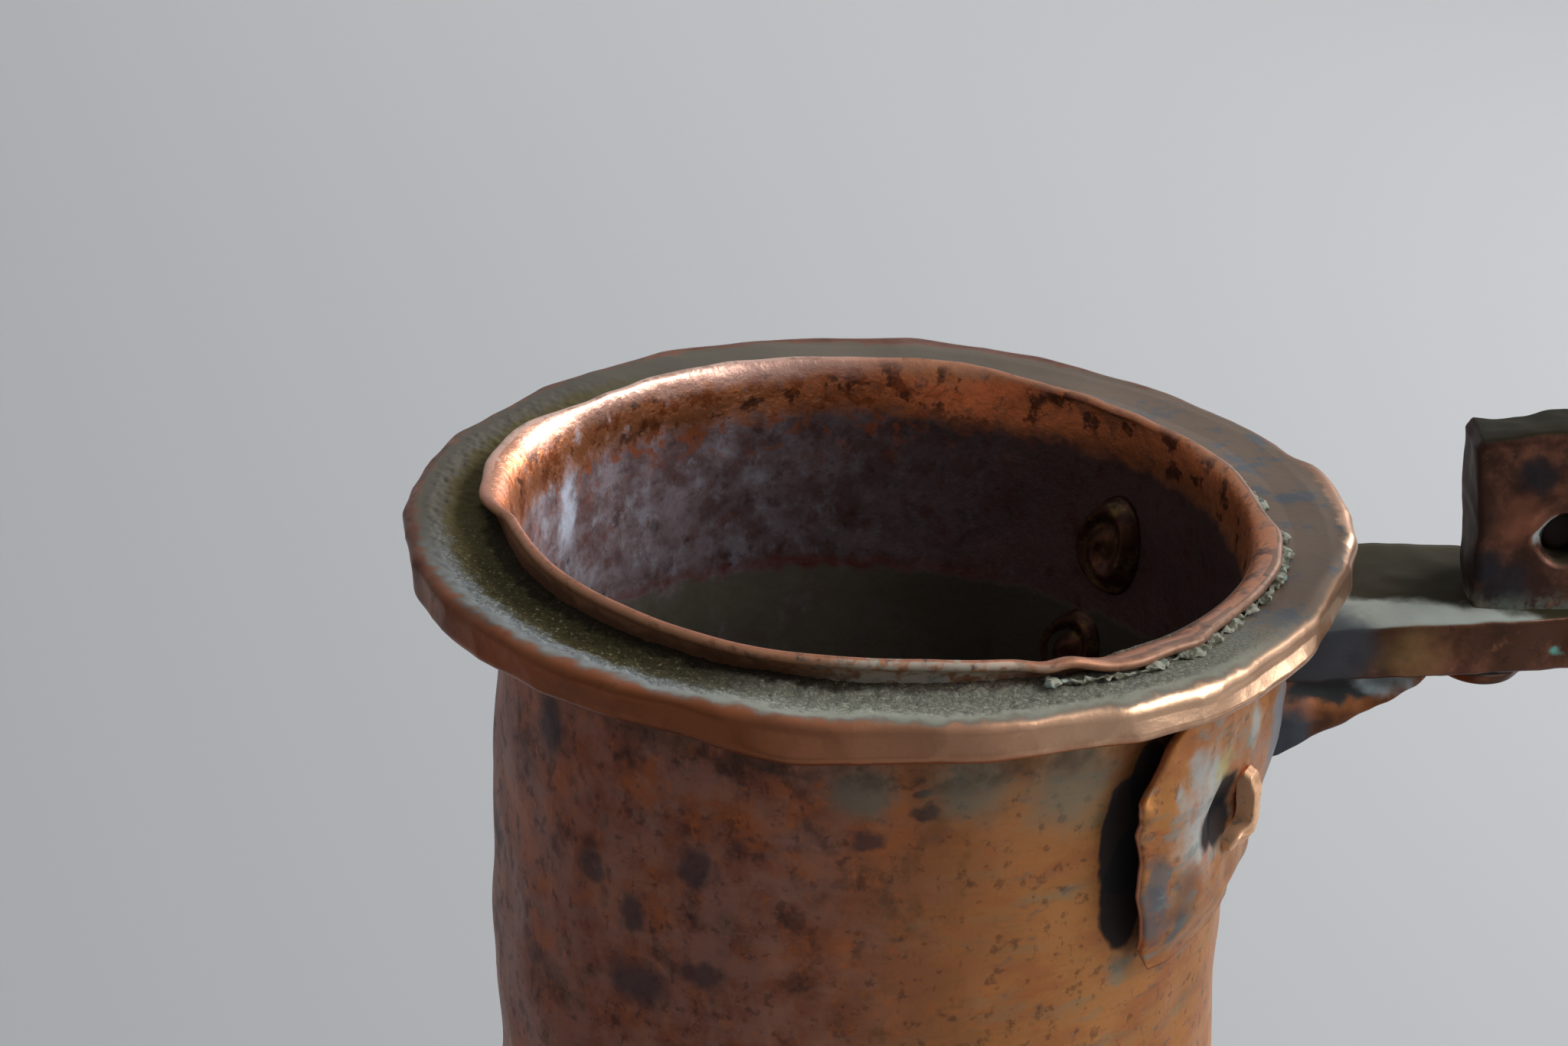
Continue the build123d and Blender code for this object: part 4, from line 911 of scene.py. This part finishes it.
# Hinge lug, a forged block with the pin's hole through it
lug_foot = bar_top - 1.0
lug_outline = np.array([
    (67.6, lug_foot), (67.3, bar_top + 3), (66.5, rim + 2), (65.7, rim + 9.4), (66.4, rim + 10.4),
    (75.6, rim + 11.3), (87.2, rim + 12.1), (88.0, rim + 11.2), (86.4, lug_foot),
])
lug_depth = 7.8
mouth_turns = np.arctan2(*(even_outline(lug_outline - [pin_x, pin_z])[:, ::-1].T))
hole_mouth = 3.5 + 0.9 * bell(np.abs(mouth_turns) - pi, 0.35)
lug = block(lug_outline, np.array([pin_x, pin_z]), lug_front, lug_front + lug_depth, 0.9, 2.6, hole_mouth)
outside_mouth = ease(np.hypot(lug[..., 0] - pin_x, lug[..., 2] - pin_z), 4.2, 5.5)[..., None]
lug = lug + (knocked(knocked(lug, 7.0, 0.6, 41), 2.5, 0.18, 42) - lug) * outside_mouth
lay("hinge_lug_forged", [lug], True, lug_skin, "kettle", "forged_copper", "hinge_lug")

# Hinge pin, its end deep in the lug, its other end peened over the washer
pin_radius, peen_radius, peen_rise = 2.5, 3.8, 1.4
peen_y = pin_high[1] - pin_low[1] - peen_rise
pin_steps = [
    (0.0, 2.4), (1.6, 2.3), (2.3, 2.6), (pin_radius, 3.0), (pin_radius, peen_y),
    (peen_radius, peen_y), (peen_radius, peen_y + 0.5), (3.0, peen_y + 1.2), (0.0, peen_y + peen_rise),
]
pin_turns = np.linspace(0, tau, 48, endpoint=False)
pin_reach, pin_y = np.array(pin_steps).T[..., None]
pin_y = pin_low[1] + pin_y + 0 * pin_turns
pin = np.stack([pin_x + pin_reach * np.cos(pin_turns), pin_y, pin_z + pin_reach * np.sin(pin_turns)], -1)
lay("hinge_pin_peened", [pin], False, lug_skin, "kettle", "copper_rivet", "hinge_pin")

# CAD nodes that keep their shape: sheet in raised copper, the lid's with no tan side of rubbed wear and
# painted light, and the small parts in forged copper
plain = {
    raised_copper("raised_copper_belly").done(): ("shoulder_shell", "belly_shell", "base_pan"),
    raised_copper("bent_copper_tube").done(): ("spout_tube", "spout_saddle", "spout_rim"),
    raised_copper("raised_copper_lid", lit_and_worn=0.0).done(): ("lid_dome", "lid_skirt"),
    plate_skin: ("belly_plate",),
    forged_copper("forged_copper_lid_fittings").done(): ("lid_knob", "hinge_strap"),
    forged_copper("peened_copper_rivets", "#93614a").done(): (
        "pin_washer", "belly_plate_rivets", "palm_rivets", "knob_rivet", "strap_rivets",
    ),
}
for metal, nodes in plain.items():
    for node in nodes:
        frame["nodes"][node].data.materials.clear()
        frame["nodes"][node].data.materials.append(metal)

# Camera: where the photograph's ring, bar and lug line up
photo_wide, photo_high = 2048, 1366
focal = 5223.0                # in pixels of the photograph
ring_spot = (1149.8, 670.2)   # pixel of the middle of the ring's top
elevation, heading, roll = 23.66, -99.0, -2.66
distance = 446.2
camera = bpy.data.objects.new("camera", bpy.data.cameras.new("camera"))
bpy.context.scene.collection.objects.link(camera)
bpy.context.scene.camera = camera
camera.data.sensor_width = 36.0
camera.data.lens = focal * camera.data.sensor_width / photo_wide
camera.data.clip_start, camera.data.clip_end = 10 * MM, 20000 * MM
away = Vector(polar(heading, cos(radians(elevation)), sin(radians(elevation))))
camera.location = (Vector((0, 0, rim)) + away * distance) * MM
look = (-away).to_track_quat("-Z", "Y").to_matrix()
aim = Vector(((ring_spot[0] - photo_wide / 2) / focal, (photo_high / 2 - ring_spot[1]) / focal, -1.0))
shift = Vector((0, 0, -1)).rotation_difference(aim).to_matrix()
level = Matrix.Rotation(-radians(roll), 3, "Z")
camera.rotation_mode = "QUATERNION"
camera.rotation_quaternion = (look @ level @ shift.transposed()).to_quaternion()

# Floor of pale matt paper
floor_half = 6000 * MM
square = [(x * floor_half, y * floor_half, 0) for x, y in ((-1, -1), (1, -1), (1, 1), (-1, 1))]
floor = bpy.data.objects.new("floor", bpy.data.meshes.new("floor"))
floor.data.from_pydata(square, [], [(0, 1, 2, 3)])
bpy.context.scene.collection.objects.link(floor)
floor.data.materials.append(Finish("pale_paper", "#959697", 0.9, 0.0).done())

# A dim room, brighter on the side of the window
world = bpy.data.worlds.new("room")
bpy.context.scene.world = world
world.use_nodes = True
room = world.node_tree
facing = {0: add(room, "TexCoord").outputs["Generated"], 1: (0.75, 0.45, 0.48)}
towards = add(room, "VectorMath", facing, operation="DOT_PRODUCT").outputs["Value"]
glow = {"Value": towards, "From Min": -0.8, "From Max": 0.9, "To Min": 0.2, "To Max": 0.8}
room.nodes["Background"].inputs["Color"].default_value = shade("#e2e6ec")
room.links.new(add(room, "MapRange", glow).outputs[0], room.nodes["Background"].inputs["Strength"])


def lamp(name, place, look_at, wide, high, power, spread=180):
    """A soft lamp, its places and size in mm."""
    light = bpy.data.lights.new(name, "AREA")
    light.shape = "RECTANGLE"
    light.size, light.size_y = wide * MM, high * MM
    light.energy = power
    light.spread = radians(spread)
    made = bpy.data.objects.new(name, light)
    made.location = Vector(place) * MM
    made.rotation_mode = "QUATERNION"
    made.rotation_quaternion = (Vector(look_at) - Vector(place)).to_track_quat("-Z", "Y")
    bpy.context.scene.collection.objects.link(made)


mouth = (0, 0, rim)
lamp("window", polar(0, 1000, rim + 620), mouth, 1300, 650, 19)
lamp("second_window", polar(37, 1050, rim + 520), mouth, 320, 480, 8)
lamp("far_light", polar(84, 1250, 1000), polar(84, 1200, 0), 600, 500, 2.2, 95)
bpy.context.scene.view_settings.view_transform = "Standard"
